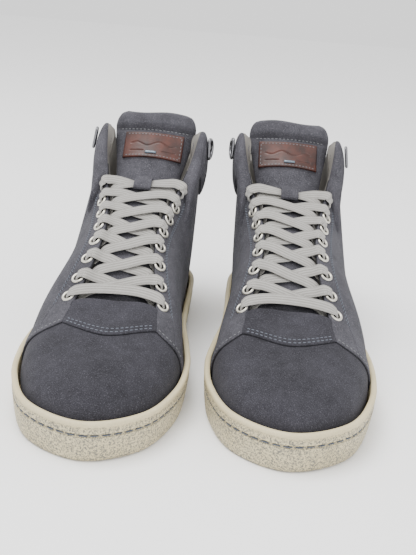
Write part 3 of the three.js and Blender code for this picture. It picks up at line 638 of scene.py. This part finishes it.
for shoe in SHOES:
    v = np.concatenate([np.linspace(0, 1, 34), np.linspace(1, 2, 26)[1:]])
    share = fine(0, 1, 60, 0.012)[:, None]
    first = np.full((1, len(v)), THROAT - TOE_LAP)
    c_lateral = first + (TOE - first) * share[share[:, 0] <= 1]
    c = np.concatenate([c_lateral, LOOP - c_lateral[::-1][1:]])
    v_grid = np.broadcast_to(v, c.shape)
    outer = lifted(c, v_grid, np.zeros(c.shape))
    inner = lifted(c, v_grid, np.full(c.shape, -SUEDE_THICKNESS))
    toe = sheet(f"{shoe}_toe_panel_suede", shoe, outer, inner, toe_suede, painted_shade=1)
    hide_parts(f"{shoe}_toe_panel")
    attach(toe, f"{shoe}_shoe")

    v = np.linspace(0.98, 2, 40)
    back = 7.02
    share = fine(0, 1, 18, 0.05)[:, None]
    front = np.full((1, len(v)), THROAT)
    c_half = back + (front - back) * share
    distance = (front - c_half) * 30
    raise_by = 1.35 - edge_drop(distance, 0.9)
    c = np.concatenate([c_half, LOOP - c_half[:, ::-1][:, 1:]], 1)
    v_grid = np.broadcast_to(np.concatenate([v, v[::-1][1:]]), c.shape)
    raise_by = np.concatenate([raise_by, raise_by[:, ::-1][:, 1:]], 1)
    overlay = sheet(f"{shoe}_vamp_overlay_suede", shoe, lifted(c, v_grid, raise_by),
                    lifted(c, v_grid, raise_by * 0 + 0.1), toe_suede, painted_shade=1)
    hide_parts(f"{shoe}_vamp_overlay")
    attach(overlay, f"{shoe}_shoe")
    lines = []
    for gap_back in (0.06, 0.125):
        v = np.linspace(1.1, 2, 40)
        half = seam(THROAT - gap_back, v, 1.45)
        other = seam(LOOP - THROAT + gap_back, v[::-1], 1.45)
        lines.append((np.concatenate([half[0], other[0][1:]]), np.concatenate([half[1], other[1][1:]])))
    sew("toe_seam_stitching", shoe, "shoe", lines, thread_light)

# ------------------------------------------------------------------ quarters and eyestays
# The two sides run from the heel patch to the throat. Their raw front edges lie over the toe panel, and a
# double row of pale stitches marks the facing that the eyelets are clinched through.

EYESTAY_WIDTH = 20.0
COLLAR_DEPTH = 34.0
FRONT_LIFT = 1.45


def front_lift(c, v):
    """The quarter climbs over the toe panel near its front edge."""
    from_heel = steps_from_heel(c)
    return FRONT_LIFT * smooth(from_heel, 6.7, 7.15)


def on_side(side_name, c):
    """Station c of the lateral side, or its opposite on the medial side."""
    return c if side_name == "lateral" else LOOP - c


def side_panel(side_name, first, last, low, high, steps, thickness, lift=None, columns=90):
    """A panel between two stations of one side, drawn from the rear forwards."""
    c = fine(first, last, columns, 0.03)
    if side_name == "medial":
        c = (LOOP - c)[::-1]
    return panel_grids(c, low, high, steps, thickness, lift)[:2]


def quarter_low(c):
    """The quarters start at the sole."""
    return 0 * c


def quarter_high(c):
    """Under the collar at the rear, then up to the eyestay seam in front of the tab."""
    from_heel = steps_from_heel(c)
    depth = COLLAR_DEPTH - 2 + (EYESTAY_WIDTH - COLLAR_DEPTH + 2) * smooth(from_heel, TAB - 0.35, TAB + 0.1)
    return below_edge(c, depth)


for shoe in SHOES:
    for side_name in ("lateral", "medial"):
        outer, inner = side_panel(side_name, HEEL_SEAM, THROAT, quarter_low, quarter_high, 40,
                                  SUEDE_THICKNESS, front_lift, 130)
        quarter = sheet(f"{shoe}_quarter_{side_name}_suede", shoe, outer, inner, body_suede, painted_shade=1)
        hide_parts(f"{shoe}_quarter_{side_name}")
        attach(quarter, f"{shoe}_shoe")

        outer, inner = side_panel(side_name, TAB - 0.1, THROAT, lambda c: below_edge(c, EYESTAY_WIDTH - 0.1),
                                  lambda c: 0 * c + 1, 16, 2.4, front_lift, 90)
        eyestay = sheet(f"{shoe}_eyestay_{side_name}_suede", shoe, outer, inner, body_suede, painted_shade=1)
        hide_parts(f"{shoe}_eyestay_{side_name}")
        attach(eyestay, f"{shoe}_shoe")

        lines = []
        for inset in (EYESTAY_WIDTH - 0.9, EYESTAY_WIDTH + 0.9):
            c = on_side(side_name, np.linspace(TAB + 0.02, 7.1, 120))
            lines.append(seam(c, below_edge(c, inset), 0.15))
        sew(f"eyestay_stitching_{side_name}", shoe, "shoe", lines, thread_light, length=1.5, space=1.0,
            radius=0.3)
        v = np.linspace(0.28, 0.97, 50)
        edge_lines = [seam(on_side(side_name, np.full(50, THROAT - 0.07)), v, FRONT_LIFT + 0.1)]
        sew(f"front_edge_stitching_{side_name}", shoe, "shoe", edge_lines, thread_tan, length=1.9,
            space=0.9, radius=0.26)

# ------------------------------------------------------------------ heel patch, collar and lining
# A patch covers the back seam. Above it runs a foam-filled suede collar with a raised ear on each side of
# the tongue, lined inside with pale leather that shows along its top edge.

COLLAR_SWELL = 4.6

lining_leather, lining_tree, lining_shader = new_material("lining_calf_pale_grey")
lining_place = object_place(lining_tree)
calf = mixed(lining_tree, noise(lining_tree, lining_place, 60, 3), "#77736d", "#5f5c58")
surface(lining_tree, lining_shader, calf, cells(lining_tree, lining_place, 1300), 0.35, 0.0003)
lining_shader.inputs["Roughness"].default_value = 0.55


def collar_share(c, v):
    """0 at the collar's bottom seam and 1 at its top edge."""
    low = below_edge(c, COLLAR_DEPTH)
    return np.clip((v - low) / (1 - low), 0, 1)


def collar_lift(c, v):
    """The foam swells between the two seams, fullest low down, with shallow folds where it bends."""
    t = collar_share(c, v)
    from_heel = steps_from_heel(c % LOOP)
    swell = COLLAR_SWELL * np.sqrt(np.maximum(np.sin(np.pi * np.clip(0.02 + 0.98 * t, 0, 1)), 0))
    creases = ((0.9, 3.0, -0.5, 0.07), (0.7, 2.45, 0.3, 0.06), (0.8, 4.35, -0.35, 0.06))
    fold = sum(depth * np.exp(-((from_heel - place - slant * t) / width) ** 2)
               for depth, place, slant, width in creases)
    return swell - fold * np.sin(np.pi * t)


for shoe in SHOES:
    c = fine(-HEEL_SEAM, HEEL_SEAM, 40, 0.03)
    outer, inner, _, _ = panel_grids(c, quarter_low, lambda s: below_edge(s, COLLAR_DEPTH - 2), 30, 1.3,
                                     lambda s, v: 1.4 + 0 * v)
    patch = sheet(f"{shoe}_heel_patch_suede", shoe, outer, inner, body_suede, painted_shade=1)
    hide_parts(f"{shoe}_heel_patch")
    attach(patch, f"{shoe}_shoe")
    v = np.linspace(0.06, 0.64, 50)
    lines = [seam(np.full(50, sign * (HEEL_SEAM - inset)), v, 1.5)
             for sign in (-1, 1) for inset in (0.07, 0.13)]
    sew("heel_patch_stitching", shoe, "shoe", lines, thread_tan)

    c = np.linspace(-4.9, 4.9, 221)
    low = below_edge(c, COLLAR_DEPTH - 0.5)[:, None]
    t = np.concatenate([np.linspace(0, 0.9, 30), np.linspace(0.92, 1, 10)])
    v = low + (1 - low) * t
    c_grid = np.broadcast_to(c[:, None], v.shape)
    outer_lift = collar_lift(c_grid, v)
    inner_lift = -5.6 + 4.4 * smooth(collar_share(c_grid, v), 0.86, 1.0)
    ends = np.minimum(c_grid - c[0], c[-1] - c_grid) * STATION_LENGTH
    taper = edge_drop(ends, 3.0)
    outer = lifted(c_grid, v, np.maximum(outer_lift - taper, -0.6))
    inner = lifted(c_grid, v, inner_lift)
    collar = sheet(f"{shoe}_padded_collar_suede", shoe, outer, inner, body_suede, painted_shade=0)
    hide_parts(f"{shoe}_heel_collar", f"{shoe}_collar_lateral", f"{shoe}_collar_medial")
    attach(collar, f"{shoe}_shoe")

    c = np.linspace(-4.86, 4.86, 181)
    low = below_edge(c, COLLAR_DEPTH + 4)[:, None]
    high = below_edge(c, 0.4)[:, None]
    v = low + (high - low) * np.linspace(0, 1, 24)
    c_grid = np.broadcast_to(c[:, None], v.shape)
    lean = 4.4 * smooth(collar_share(c_grid, v), 0.86, 1.0)
    facing = sheet(f"{shoe}_collar_lining_leather", shoe, lifted(c_grid, v, -5.7 + lean),
                   lifted(c_grid, v, -6.9 + lean), lining_leather)
    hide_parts(f"{shoe}_collar_lining")
    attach(facing, f"{shoe}_shoe")

# ------------------------------------------------------------------ tongue
# One padded suede tongue from the vamp to a rolled top edge, with a row of stitches under the roll. It bends
# at the level of the top lace, so it follows the shoe below that line and the tongue body above it.

TONGUE_DROP, TONGUE_BASE, TONGUE_PAD = 6.4, 3.6, 6.0
TONGUE_FOOT_HALF, TONGUE_TOP_HALF = 0.53 * HALF_WIDTH - 6.3, 0.68 * HALF_WIDTH - 6.8
TONGUE_WRAP = 6.0
FOLD = 5.02
ROLL_SEAM = 0.775  # the stitches under the rolled edge, as a share of the way up
tongue_foot = lifted(np.array(FOLD), np.array(2.0), np.array(-TONGUE_DROP - TONGUE_BASE / 2))
tongue_tip = np.array([0.09 * HALF_WIDTH, tongue_foot[1] + 33, EAR_HEIGHT + 13 - 3.5])
tongue_bend = (tongue_foot + tongue_tip) / 2 + [0, 4.5, -6]


def tongue_half(t):
    """Half the tongue's width at t, from its foot to its top."""
    return TONGUE_FOOT_HALF + (TONGUE_TOP_HALF - TONGUE_FOOT_HALF) * smooth(t, 0, 1)


def tongue_point(u, t, lift):
    """Up the tongue by t on a quadratic curve, across it by u, its sides bent back by the square of u."""
    u, t, lift = (x[..., None] for x in np.broadcast_arrays(np.asarray(u, float), t, lift))
    middle = (1 - t) ** 2 * tongue_foot + 2 * t * (1 - t) * tongue_bend + t**2 * tongue_tip
    along = unit(2 * (1 - t) * (tongue_bend - tongue_foot) + 2 * t * (tongue_tip - tongue_bend))
    front = unit(np.stack([0 * along[..., 0], -along[..., 2], along[..., 1]], -1))
    half = tongue_half(t)
    return middle + front * (lift - TONGUE_WRAP * u**2) + np.concatenate([u * half, 0 * u, 0 * u], -1)


for shoe in SHOES:
    u = np.sin(np.linspace(-1, 1, 49) * np.pi / 2)
    c = np.linspace(7.33, FOLD + 0.06, 50)
    v = 2 - np.abs(u) * 1.03
    cc, vv = np.meshgrid(c, v, indexing="ij")
    cc = np.where(u[None, :] < 0, cc, LOOP - cc)
    base_front = lifted(cc, vv, np.full(cc.shape, -TONGUE_DROP))
    base_back = lifted(cc, vv, np.full(cc.shape, -TONGUE_DROP - TONGUE_BASE))
    t = np.linspace(0.06, 1, 56)
    uu, tt = np.meshgrid(u, t)
    corner = 1.08 - 0.3 * (1 - np.sqrt(1 - np.clip((tt - 0.8) / 0.2, 0, 1) ** 2))
    roll = 1 + 0.75 * smooth(tt, 0.79, 0.86) - 1.75 * smooth(tt, 0.95, 1.0) ** 2
    neck = 1 - 0.5 * np.exp(-((tt - 0.78) / 0.018) ** 2)
    swell = TONGUE_PAD / 2 * roll * neck * np.sqrt(np.maximum(1 - (np.abs(uu) ** 5) * 0.96, 0.0))
    droop = 0.012 * np.sin(3.1 * uu) * smooth(tt, 0.5, 1)
    top_front = tongue_point(uu * corner, np.minimum(tt + droop, 1.02), swell)
    top_back = tongue_point(uu * corner, np.minimum(tt + droop, 1.02), -swell)
    front, back = np.concatenate([base_front, top_front]), np.concatenate([base_back, top_back])
    soften = np.exp(-((np.arange(-6, 7) / 3.0) ** 2))
    soften /= soften.sum()
    for grid in (front, back):
        for axis in range(3):
            padded = np.pad(grid[..., axis], ((6, 6), (0, 0)), "reflect", reflect_type="odd")
            grid[44:62, :, axis] = np.array([np.convolve(padded[:, j], soften, "valid")
                                             for j in range(grid.shape[1])]).T[44:62]
    tongue = welded(sheet(f"{shoe}_tongue_suede", shoe, front, back, body_suede, painted_shade=0, sharp=70))
    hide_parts(f"{shoe}_tongue_base", f"{shoe}_tongue_top")
    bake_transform(tongue)
    across = np.linspace(-0.93, 0.93, 60)
    path = tongue_point(across, np.full(60, ROLL_SEAM), np.full(60, TONGUE_PAD / 2 * 0.8))
    outward = unit(tongue_point(across, np.full(60, ROLL_SEAM), np.full(60, 4.0)) - path)
    sew("tongue_top_stitching", shoe, "tongue", [(path, outward)], thread_tan, length=1.8, space=1.0)

# ------------------------------------------------------------------ label
# A tab of waxed brown leather sewn to the tongue with grey thread, its top, foot and inner end stitched, with
# a pressed flourish and a small enamelled bar. The flourish is plain waves, with no lettering.

LABEL_WIDTH, LABEL_HEIGHT, LABEL_THICKNESS = 42.0, 20.0, 1.4
LABEL_T, LABEL_SKEW = 0.56, 1.0
LABEL_FACE = 0.5 + LABEL_THICKNESS  # its outer face above the tongue
STITCH_INSET = 1.5
BAR_HALF_LENGTH, BAR_HALF_HEIGHT, BAR_RISE = 4, 1, 1.2
BAR_LEFT, BAR_BELOW = 1, 6.2  # from the label's middle

waxed, waxed_tree, waxed_shader = new_material("waxed_leather_brown")
waxed_place = object_place(waxed_tree)
waxed_cloud = noise(waxed_tree, waxed_place, 130, 4, 0.6)
waxed_tone = ramp(waxed_tree, waxed_cloud, (0.35, "#2a130d"), (0.7, "#4c2318"))
surface(waxed_tree, waxed_shader, waxed_tone, cells(waxed_tree, waxed_place, 1500), 0.25, 0.0002)
waxed_shader.inputs["Roughness"].default_value = 0.42

enamel, _, enamel_shader = new_material("enamelled_bar_blue_grey")
enamel_shader.inputs["Base Color"].default_value = linear("#6b7681")
enamel_shader.inputs["Roughness"].default_value = 0.3
enamel_shader.inputs["Metallic"].default_value = 0.6

tongue_length = np.linalg.norm(tongue_tip - tongue_foot) * 1.04


def on_label(x, y, lift):
    """A point of the label: x across and y up from its middle in millimetres, lift off the tongue."""
    t = LABEL_T + np.asarray(y, float) / tongue_length
    return tongue_point((np.asarray(x, float) + LABEL_SKEW) / tongue_half(t), t, TONGUE_PAD / 2 + lift)


def pressed(x, y):
    """Depth of the pressed flourish: a band of running waves and two plain lines under it."""
    wave = y - 1.0 - 1.5 * np.sin(x * 0.36) * smooth(18 - np.abs(x), 0, 8)
    line = np.exp(-((wave / 0.55) ** 2)) * smooth(17 - np.abs(x), 0, 2)
    rule = np.exp(-(((y + 4.6) / 0.4) ** 2)) * smooth(17 - np.abs(x), 0, 1) * smooth(np.abs(x), 6, 7)
    return 0.45 * np.maximum(line, rule)


for shoe in SHOES:
    x = fine(-LABEL_WIDTH / 2, LABEL_WIDTH / 2, 150, 1.0)
    y = fine(-LABEL_HEIGHT / 2, LABEL_HEIGHT / 2, 80, 1.0)
    xx, yy = np.meshgrid(x, y)
    rim = np.minimum(LABEL_WIDTH / 2 - np.abs(xx), LABEL_HEIGHT / 2 - np.abs(yy))
    height = LABEL_FACE - edge_drop(rim, 0.6) - pressed(xx, yy)
    label = sheet(f"{shoe}_tongue_label_leather", shoe, on_label(xx, yy, height),
                  on_label(xx, yy, 0 * height + 0.2), waxed)
    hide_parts(f"{shoe}_tongue_label")
    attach(label, f"{shoe}_tongue")
    lines = []
    top_x = np.linspace(-LABEL_WIDTH / 2 + STITCH_INSET, LABEL_WIDTH / 2 - STITCH_INSET, 60)
    side_y = np.linspace(-LABEL_HEIGHT / 2 + STITCH_INSET, LABEL_HEIGHT / 2 - STITCH_INSET, 30)
    for sx, sy in ((top_x, 0 * top_x + LABEL_HEIGHT / 2 - STITCH_INSET),
                   (top_x, 0 * top_x - LABEL_HEIGHT / 2 + STITCH_INSET),
                   (0 * side_y + LABEL_WIDTH / 2 - STITCH_INSET, side_y)):
        path = on_label(sx, sy, LABEL_FACE)
        lines.append((path, unit(on_label(sx, sy, 4.0) - path)))
    sew("label_stitching", shoe, "tongue", lines, thread_tan, length=1.5, space=0.9, radius=0.26)
    x = fine(-BAR_HALF_LENGTH, BAR_HALF_LENGTH, 12, 0.5)
    y = fine(-BAR_HALF_HEIGHT, BAR_HALF_HEIGHT, 6, 0.4)
    xx, yy = np.meshgrid(x, y)
    rim = np.minimum(BAR_HALF_LENGTH - np.abs(xx), BAR_HALF_HEIGHT - np.abs(yy))
    height = LABEL_FACE + BAR_RISE - edge_drop(rim, 0.8)
    bar = sheet(f"{shoe}_label_enamel_bar", shoe, on_label(xx - BAR_LEFT, yy - BAR_BELOW, height),
                on_label(xx - BAR_LEFT, yy - BAR_BELOW, 0 * height + LABEL_THICKNESS + 0.3), enamel)
    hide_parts(f"{shoe}_label_bar")
    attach(bar, f"{shoe}_tongue")

# ------------------------------------------------------------------ eyelets
# Seven two-part brass eyelets a side, nickel plated: a rolled flange over the suede and a barrel through it.

LACE_ROWS = 8
EYELET_INSET = 8.0
FIRST_ROW = 6.86  # station of the bottom pair
BORE, FLANGE = 2.5, 4.3

nickel, nickel_tree, nickel_shader = new_material("nickel_plated_brass_satin")
nickel_shader.inputs["Base Color"].default_value = linear("#dcd8cc")
nickel_shader.inputs["Metallic"].default_value = 0.85
wear = noise(nickel_tree, object_place(nickel_tree), 700, 3)
feed(nickel_tree, nickel_shader, {"Roughness": ranged(nickel_tree, wear, 0, 1, 0.22, 0.5)})

# painted shade: a near-black finish for the discs that stand in for the shade inside the eyelet bores
dark_hole, _, dark_hole_shader = new_material("painted_eyelet_shade_black")
dark_hole_shader.inputs["Base Color"].default_value = linear("#101013")
dark_hole_shader.inputs["Roughness"].default_value = 1.0


def eyelet_place(row_number):
    """Rows are evenly spaced by station from the throat to the tab."""
    return FIRST_ROW + (TAB + 0.2 - FIRST_ROW) * np.asarray(row_number, float) / (LACE_ROWS - 1)


def turned_ring(centre, axis, profile, turns=28):
    """A profile of (radius, height) points that closes on itself, turned round an axis."""
    side_way = unit(np.cross(axis, [0.3, 0.1, 1.0]))
    other_way = np.cross(axis, side_way)
    angles = np.linspace(0, 2 * np.pi, turns, endpoint=False)[:, None, None]
    radius, height = profile[:, 0][None, :, None], profile[:, 1][None, :, None]
    points = centre + radius * (np.cos(angles) * side_way + np.sin(angles) * other_way) + height * axis
    return points.reshape(-1, 3), tube_faces(*points.shape[:2], closed=True)


def joined(parts):
    """Several (vertices, faces) pairs as one."""
    starts = np.cumsum([0] + [len(v) for v, _ in parts[:-1]])
    return np.concatenate([v for v, _ in parts]), np.concatenate([f + s for (_, f), s in zip(parts, starts)])


bend = np.linspace(np.pi, 0, 9)
middle_radius, roll_radius = (BORE + FLANGE) / 2, (FLANGE - BORE) / 2
flange_profile = np.concatenate([
    np.column_stack([middle_radius + roll_radius * np.cos(bend), 0.25 + 0.95 * np.sin(bend)]),
    [[FLANGE - 0.25, 0.05], [BORE + 0.45, 0.0], [BORE + 0.45, -1.9], [BORE, -2.0]]])

for shoe in SHOES:
    for side_name in ("lateral", "medial"):
        rows = on_side(side_name, eyelet_place(np.arange(LACE_ROWS - 1)))
        v = below_edge(rows, EYELET_INSET)
        lift = front_lift(rows, v)
        centres, axes = lifted(rows, v, lift), normal_at(shifted(rows, v), v)
        vertices, faces = joined([turned_ring(p, n, flange_profile) for p, n in zip(centres, axes)])
        ring_set = finish_mesh(f"{shoe}_eyelets_{side_name}_nickel", shoe, vertices, faces, nickel)
        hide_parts(f"{shoe}_eyelet_row_{side_name}")
        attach(ring_set, f"{shoe}_shoe")
        # painted shade: a thin near-black disc sits in each eyelet's bore in place of the shade inside the
        # hole
        plug_profile = np.array([[0.01, 0.14], [BORE + 0.3, 0.14], [BORE + 0.3, 0.02], [0.01, 0.02]])
        vertices, faces = joined([turned_ring(p, n, plug_profile) for p, n in zip(centres, axes)])
        shade = finish_mesh(f"{shoe}_eyelet_shadow_{side_name}", shoe, vertices, faces, dark_hole)
        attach(shade, f"{shoe}_shoe")

# ------------------------------------------------------------------ lace
# A flat woven cotton lace 8 mm wide in a bar and criss-cross lacing. The bar crosses the bottom pair, then
# each run comes up from under an eyestay, crosses the tongue and goes down the next eyelet opposite. The
# last two runs pass through the keeper, and the ends are tucked inside.

LACE_WIDTH, LACE_THICKNESS = 8.0, 1.5

cotton, cotton_tree, cotton_shader = new_material("woven_cotton_off_white")
cloth_uv = add_node(cotton_tree, "ShaderNodeUVMap", settings={"uv_map": "cloth"}).outputs[0]
cloth_xy = add_node(cotton_tree, "ShaderNodeSeparateXYZ", links={0: cloth_uv})
fold_over = maths(cotton_tree, "PINGPONG", cloth_xy.outputs[0], 1.0)
slant = maths(cotton_tree, "ADD", fold_over, cloth_xy.outputs[1])
yarn = maths(cotton_tree, "SINE", maths(cotton_tree, "MULTIPLY", slant, 7.2))
rib = maths(cotton_tree, "COSINE", maths(cotton_tree, "MULTIPLY", cloth_xy.outputs[0], 6.2832))
weave_part = ranged(cotton_tree, maths(cotton_tree, "ADD", yarn, rib), -2, 1.2)
cotton_base = mixed(cotton_tree, noise(cotton_tree, object_place(cotton_tree), 260, 3), "#b4b2ae", "#9c9994")
# painted shade: the colour darkens to #77746f in the weave's grooves, the low parts of the same height that
# drives the bump
cotton_with_groove_shade = mixed(cotton_tree, weave_part, "#77746f", cotton_base)
surface(cotton_tree, cotton_shader, cotton_with_groove_shade, weave_part, 0.8, 0.0004)
cotton_shader.inputs["Roughness"].default_value = 0.9
cotton_shader.inputs["Sheen Weight"].default_value = 0.1


def lace_route(start):
    """Control points of half the lace, from beside the bar's middle: rows of station, v, offset, width."""
    route = []

    def put(side_name, c, v, offset, width):
        station_c = float(on_side(side_name, c))
        height = float(v) if not callable(v) else float(v(np.array(station_c)))
        lift = float(front_lift(np.array(station_c), 0)) if height < 1.05 and offset > 0 else 0.0
        route.append((station_c, height, offset + lift, width))

    def down_through(side_name, row_number):
        c = float(eyelet_place(row_number))
        put(side_name, c, lambda s: below_edge(s, EYELET_INSET - 4.6), 2.0, 7.4)
        put(side_name, c, lambda s: below_edge(s, EYELET_INSET - 1.7), 1.9, 5.6)
        put(side_name, c, lambda s: below_edge(s, EYELET_INSET + 0.2), 0.5, 4.0)
        put(side_name, c, lambda s: below_edge(s, EYELET_INSET), -3.4, 3.6)
        if row_number == LACE_ROWS - 1:
            put(side_name, c, lambda s: below_edge(s, EYELET_INSET), -5.4, 3.4)
            return
        put(side_name, c, lambda s: below_edge(s, EYELET_INSET - 3.4), -4.6, 5.0)

    near = start
    first = float(eyelet_place(0))
    put(near, first, 1.5, 0.9, LACE_WIDTH)
    put(near, first, 1.0, 1.7, LACE_WIDTH)
    down_through(near, 0)
    for row_number in range(LACE_ROWS - 1):
        low, high = float(eyelet_place(row_number)), float(eyelet_place(row_number + 1))
        far = "medial" if near == "lateral" else "lateral"
        over = far == "medial"
        narrow = LACE_WIDTH - 2.0 if row_number == LACE_ROWS - 2 else LACE_WIDTH
        lead, trail = (0.38, 0.62) if row_number == LACE_ROWS - 2 else (0.3, 0.72)
        level = -2.7 if over else -4.5
        for side_name, share, height, offset, width in (
                (near, 0.1, 1.0, -4.6, 7.4), (near, (0.1 + lead) / 2, 1.25, -3.9, LACE_WIDTH),
                (near, lead, 1.5, -3.7 if over else -4.5, LACE_WIDTH), (near, 0.5, 2.0, level, narrow),
                (far, trail, 1.5, level + 1, LACE_WIDTH),
                (far, (trail + 0.92) / 2, 1.25, level + 2, LACE_WIDTH),
                (far, 0.92, 1.0, 1.7, LACE_WIDTH)):
            put(side_name, low + share * (high - low), height, offset, width)
        down_through(far, row_number + 1)
        near = far
    return np.array(route)


def spline_through(points, steps):
    """A Catmull-Rom curve through rows of points, with its knots spaced by the root of their distance."""
    ends = [2 * points[0] - points[1]], [2 * points[-1] - points[-2]]
    p = np.concatenate([ends[0], points, ends[1]])
    gaps = np.maximum(np.linalg.norm(np.diff(p[:, :3], axis=0), axis=1) ** 0.5, 1e-4)
    knots = np.concatenate([[0], np.cumsum(gaps)])
    t0, t1, t2, t3 = (knots[k:len(knots) - 3 + k, None, None] for k in range(4))
    p0, p1, p2, p3 = (p[k:len(p) - 3 + k, None, :] for k in range(4))
    t = t1 + (t2 - t1) * np.linspace(0, 1, steps, endpoint=False)[None, :, None]
    a1 = (t1 - t) / (t1 - t0) * p0 + (t - t0) / (t1 - t0) * p1
    a2 = (t2 - t) / (t2 - t1) * p1 + (t - t1) / (t2 - t1) * p2
    a3 = (t3 - t) / (t3 - t2) * p2 + (t - t2) / (t3 - t2) * p3
    b1 = (t2 - t) / (t2 - t0) * a1 + (t - t0) / (t2 - t0) * a2
    b2 = (t3 - t) / (t3 - t1) * a2 + (t - t1) / (t3 - t1) * a3
    return ((t2 - t) / (t2 - t1) * b1 + (t - t1) / (t2 - t1) * b2).reshape(-1, p.shape[1])


LACE_SECTION = 20
section_angle = np.linspace(0, 2 * np.pi, LACE_SECTION, endpoint=False)
section_x = np.sign(np.cos(section_angle)) * np.abs(np.cos(section_angle)) ** 0.35
section_y = np.sign(np.sin(section_angle)) * np.abs(np.sin(section_angle)) ** 0.7

for shoe in SHOES:
    route = np.concatenate([lace_route("lateral")[::-1], lace_route("medial")])
    centres = lifted(route[:, 0], route[:, 1], route[:, 2])
    steps = form(route[:, 0] + 0.05, np.minimum(route[:, 1], 1.9)) - form(
        route[:, 0] - 0.05, np.minimum(route[:, 1], 1.9))
    ways = unit(steps) * np.where(route[:, 0] > TOE, -1, 1)[:, None]
    dense = spline_through(np.column_stack([centres, ways, route[:, 3]]), 9)
    spine, way, width = dense[:, :3], unit(dense[:, 3:6]), dense[:, 6]
    along = unit(np.gradient(spine, axis=0))
    wide = unit(way - along * (way * along).sum(-1, keepdims=True))
    thin = np.cross(along, wide)
    points = (spine[:, None] + wide[:, None] * (width[:, None] / 2 * section_x)[..., None]
              + thin[:, None] * (LACE_THICKNESS / 2 * section_y)[..., None])
    n, m = points.shape[:2]
    faces = tube_faces(n, m).tolist() + [list(range(m))[::-1], [(n - 1) * m + k for k in range(m)]]
    run = np.concatenate([[0], np.cumsum(np.linalg.norm(np.diff(spine, axis=0), axis=1))])
    uv = np.stack(np.broadcast_arrays(section_x[None, :] * 2.0, run[:, None]), -1).reshape(-1, 2)
    lace = finish_mesh(f"{shoe}_lace_cotton", shoe, points.reshape(-1, 3), faces, cotton, uv=uv, sharp=180)
    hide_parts(f"{shoe}_lace")
    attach(lace, f"{shoe}_shoe")

# ------------------------------------------------------------------ lace keeper
# A folded strap of suede sewn to the middle of the tongue, that the last two runs of the lace pass under.

KEEPER_WIDTH = 12.0
keeper_middle = float(eyelet_place(LACE_ROWS - 1.5))
arch = np.array([
    (-0.165, -6.2, -0.135, -6.2), (-0.16, -2.2, -0.125, -2.4), (-0.14, 0.2, -0.11, -0.9),
    (-0.07, 0.9, -0.06, -0.5), (0, 1.0, 0, -0.4), (0.07, 0.9, 0.06, -0.5),
    (0.125, 0.2, 0.095, -0.9), (0.138, -2.2, 0.105, -2.4), (0.142, -6.2, 0.11, -6.2)])
for shoe in SHOES:
    rows = spline_through(np.column_stack([arch, 0 * arch[:, :1]]), 6)[:-5]
    x = fine(-KEEPER_WIDTH / 2, KEEPER_WIDTH / 2, 12, 0.8)
    sides = []
    for station_offset, lift_by in ((rows[:, 0], rows[:, 1]), (rows[:, 2], rows[:, 3])):
        line = lifted(keeper_middle + station_offset, np.full(len(rows), 2.0), lift_by)
        sides.append(line[:, None, :] + np.stack([x, 0 * x, 0 * x], -1)[None])
    keeper = sheet(f"{shoe}_lace_keeper_suede", shoe, *sides, body_suede, painted_shade=0.6)
    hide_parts(f"{shoe}_lace_keeper")
    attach(keeper, f"{shoe}_shoe")

# ------------------------------------------------------------------ D-rings
# A bent steel wire ring, gunmetal plated, hangs by its straight bar from a slot in each ear.

RING_STATION, RING_BELOW = 3.95, 13.0
RING_HEIGHT, RING_DEPTH, RING_WIRE = 14.0, 10.0, 1.1
RING_LIFT = COLLAR_SWELL + 0.3 + RING_WIRE

gunmetal, _, gunmetal_shader = new_material("gunmetal_plated_steel")
gunmetal_shader.inputs["Base Color"].default_value = linear("#77777a")
gunmetal_shader.inputs["Metallic"].default_value = 1.0
gunmetal_shader.inputs["Roughness"].default_value = 0.28

for shoe in SHOES:
    for side_name in ("lateral", "medial"):
        c = np.array(float(on_side(side_name, RING_STATION)))
        v = below_edge(c, RING_BELOW)
        out = normal_at(c, v)
        seat = lifted(c, v, RING_LIFT)
        up = unit(np.array([0, 0, 1]) - out * out[2])
        rear = unit(np.cross(up, out))
        rear = rear * np.sign(rear[1])
        straight = np.linspace(-1, 1, 13)[:-1, None] * np.array([0, RING_HEIGHT / 2])
        turn = np.linspace(np.pi / 2, -np.pi / 2, 40)[:-1]
        curved = np.column_stack([RING_DEPTH * np.cos(turn) ** 0.8, RING_HEIGHT / 2 * np.sin(turn)])
        outline = np.concatenate([straight, curved])
        for _ in range(2):
            outline = (np.roll(outline, 1, 0) + 2 * outline + np.roll(outline, -1, 0)) / 4
        path = seat + outline[:, :1] * rear + outline[:, 1:] * up
        along = unit(np.roll(path, -1, 0) - np.roll(path, 1, 0))
        inward = unit(np.cross(along, out))
        angles = np.linspace(0, 2 * np.pi, 14, endpoint=False)
        points = (path[:, None] + RING_WIRE * np.cos(angles)[None, :, None] * out
                  + RING_WIRE * np.sin(angles)[None, :, None] * inward[:, None])
        faces = tube_faces(*points.shape[:2], closed=True)
        ring = finish_mesh(f"{shoe}_d_ring_{side_name}_steel", shoe, points.reshape(-1, 3), faces, gunmetal)
        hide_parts(f"{shoe}_d_ring_{side_name}")
        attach(ring, f"{shoe}_ring_{side_name}")

# ------------------------------------------------------------------ inside the shoe
# The lining, insole, board, foam, puff and counter keep their exact shapes and take their own finishes.

foam_finish, foam_tree, foam_shader = new_material("blown_eva_foam_ivory")
foam_cells = cells(foam_tree, object_place(foam_tree), 1600)
surface(foam_tree, foam_shader, mixed(foam_tree, foam_cells, "#d8d3c6", "#c6c0b2"))
foam_shader.inputs["Roughness"].default_value = 0.9
board_finish, board_tree, board_shader = new_material("pressed_fibreboard_tan")
board_fibre = noise(board_tree, object_place(board_tree), 420, 4)
surface(board_tree, board_shader, mixed(board_tree, board_fibre, "#a08f73", "#7d6d55"))
board_shader.inputs["Roughness"].default_value = 0.85

inner_finish = {"midsole": foam_finish, "insole_board": board_finish, "toe_puff": board_finish,
                "heel_counter": board_finish, "insole": lining_leather, "lining": lining_leather}
for shoe in SHOES:
    for part, finish in inner_finish.items():
        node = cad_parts[f"{shoe}_{part}"]
        node.data.materials.clear()
        node.data.materials.append(finish)
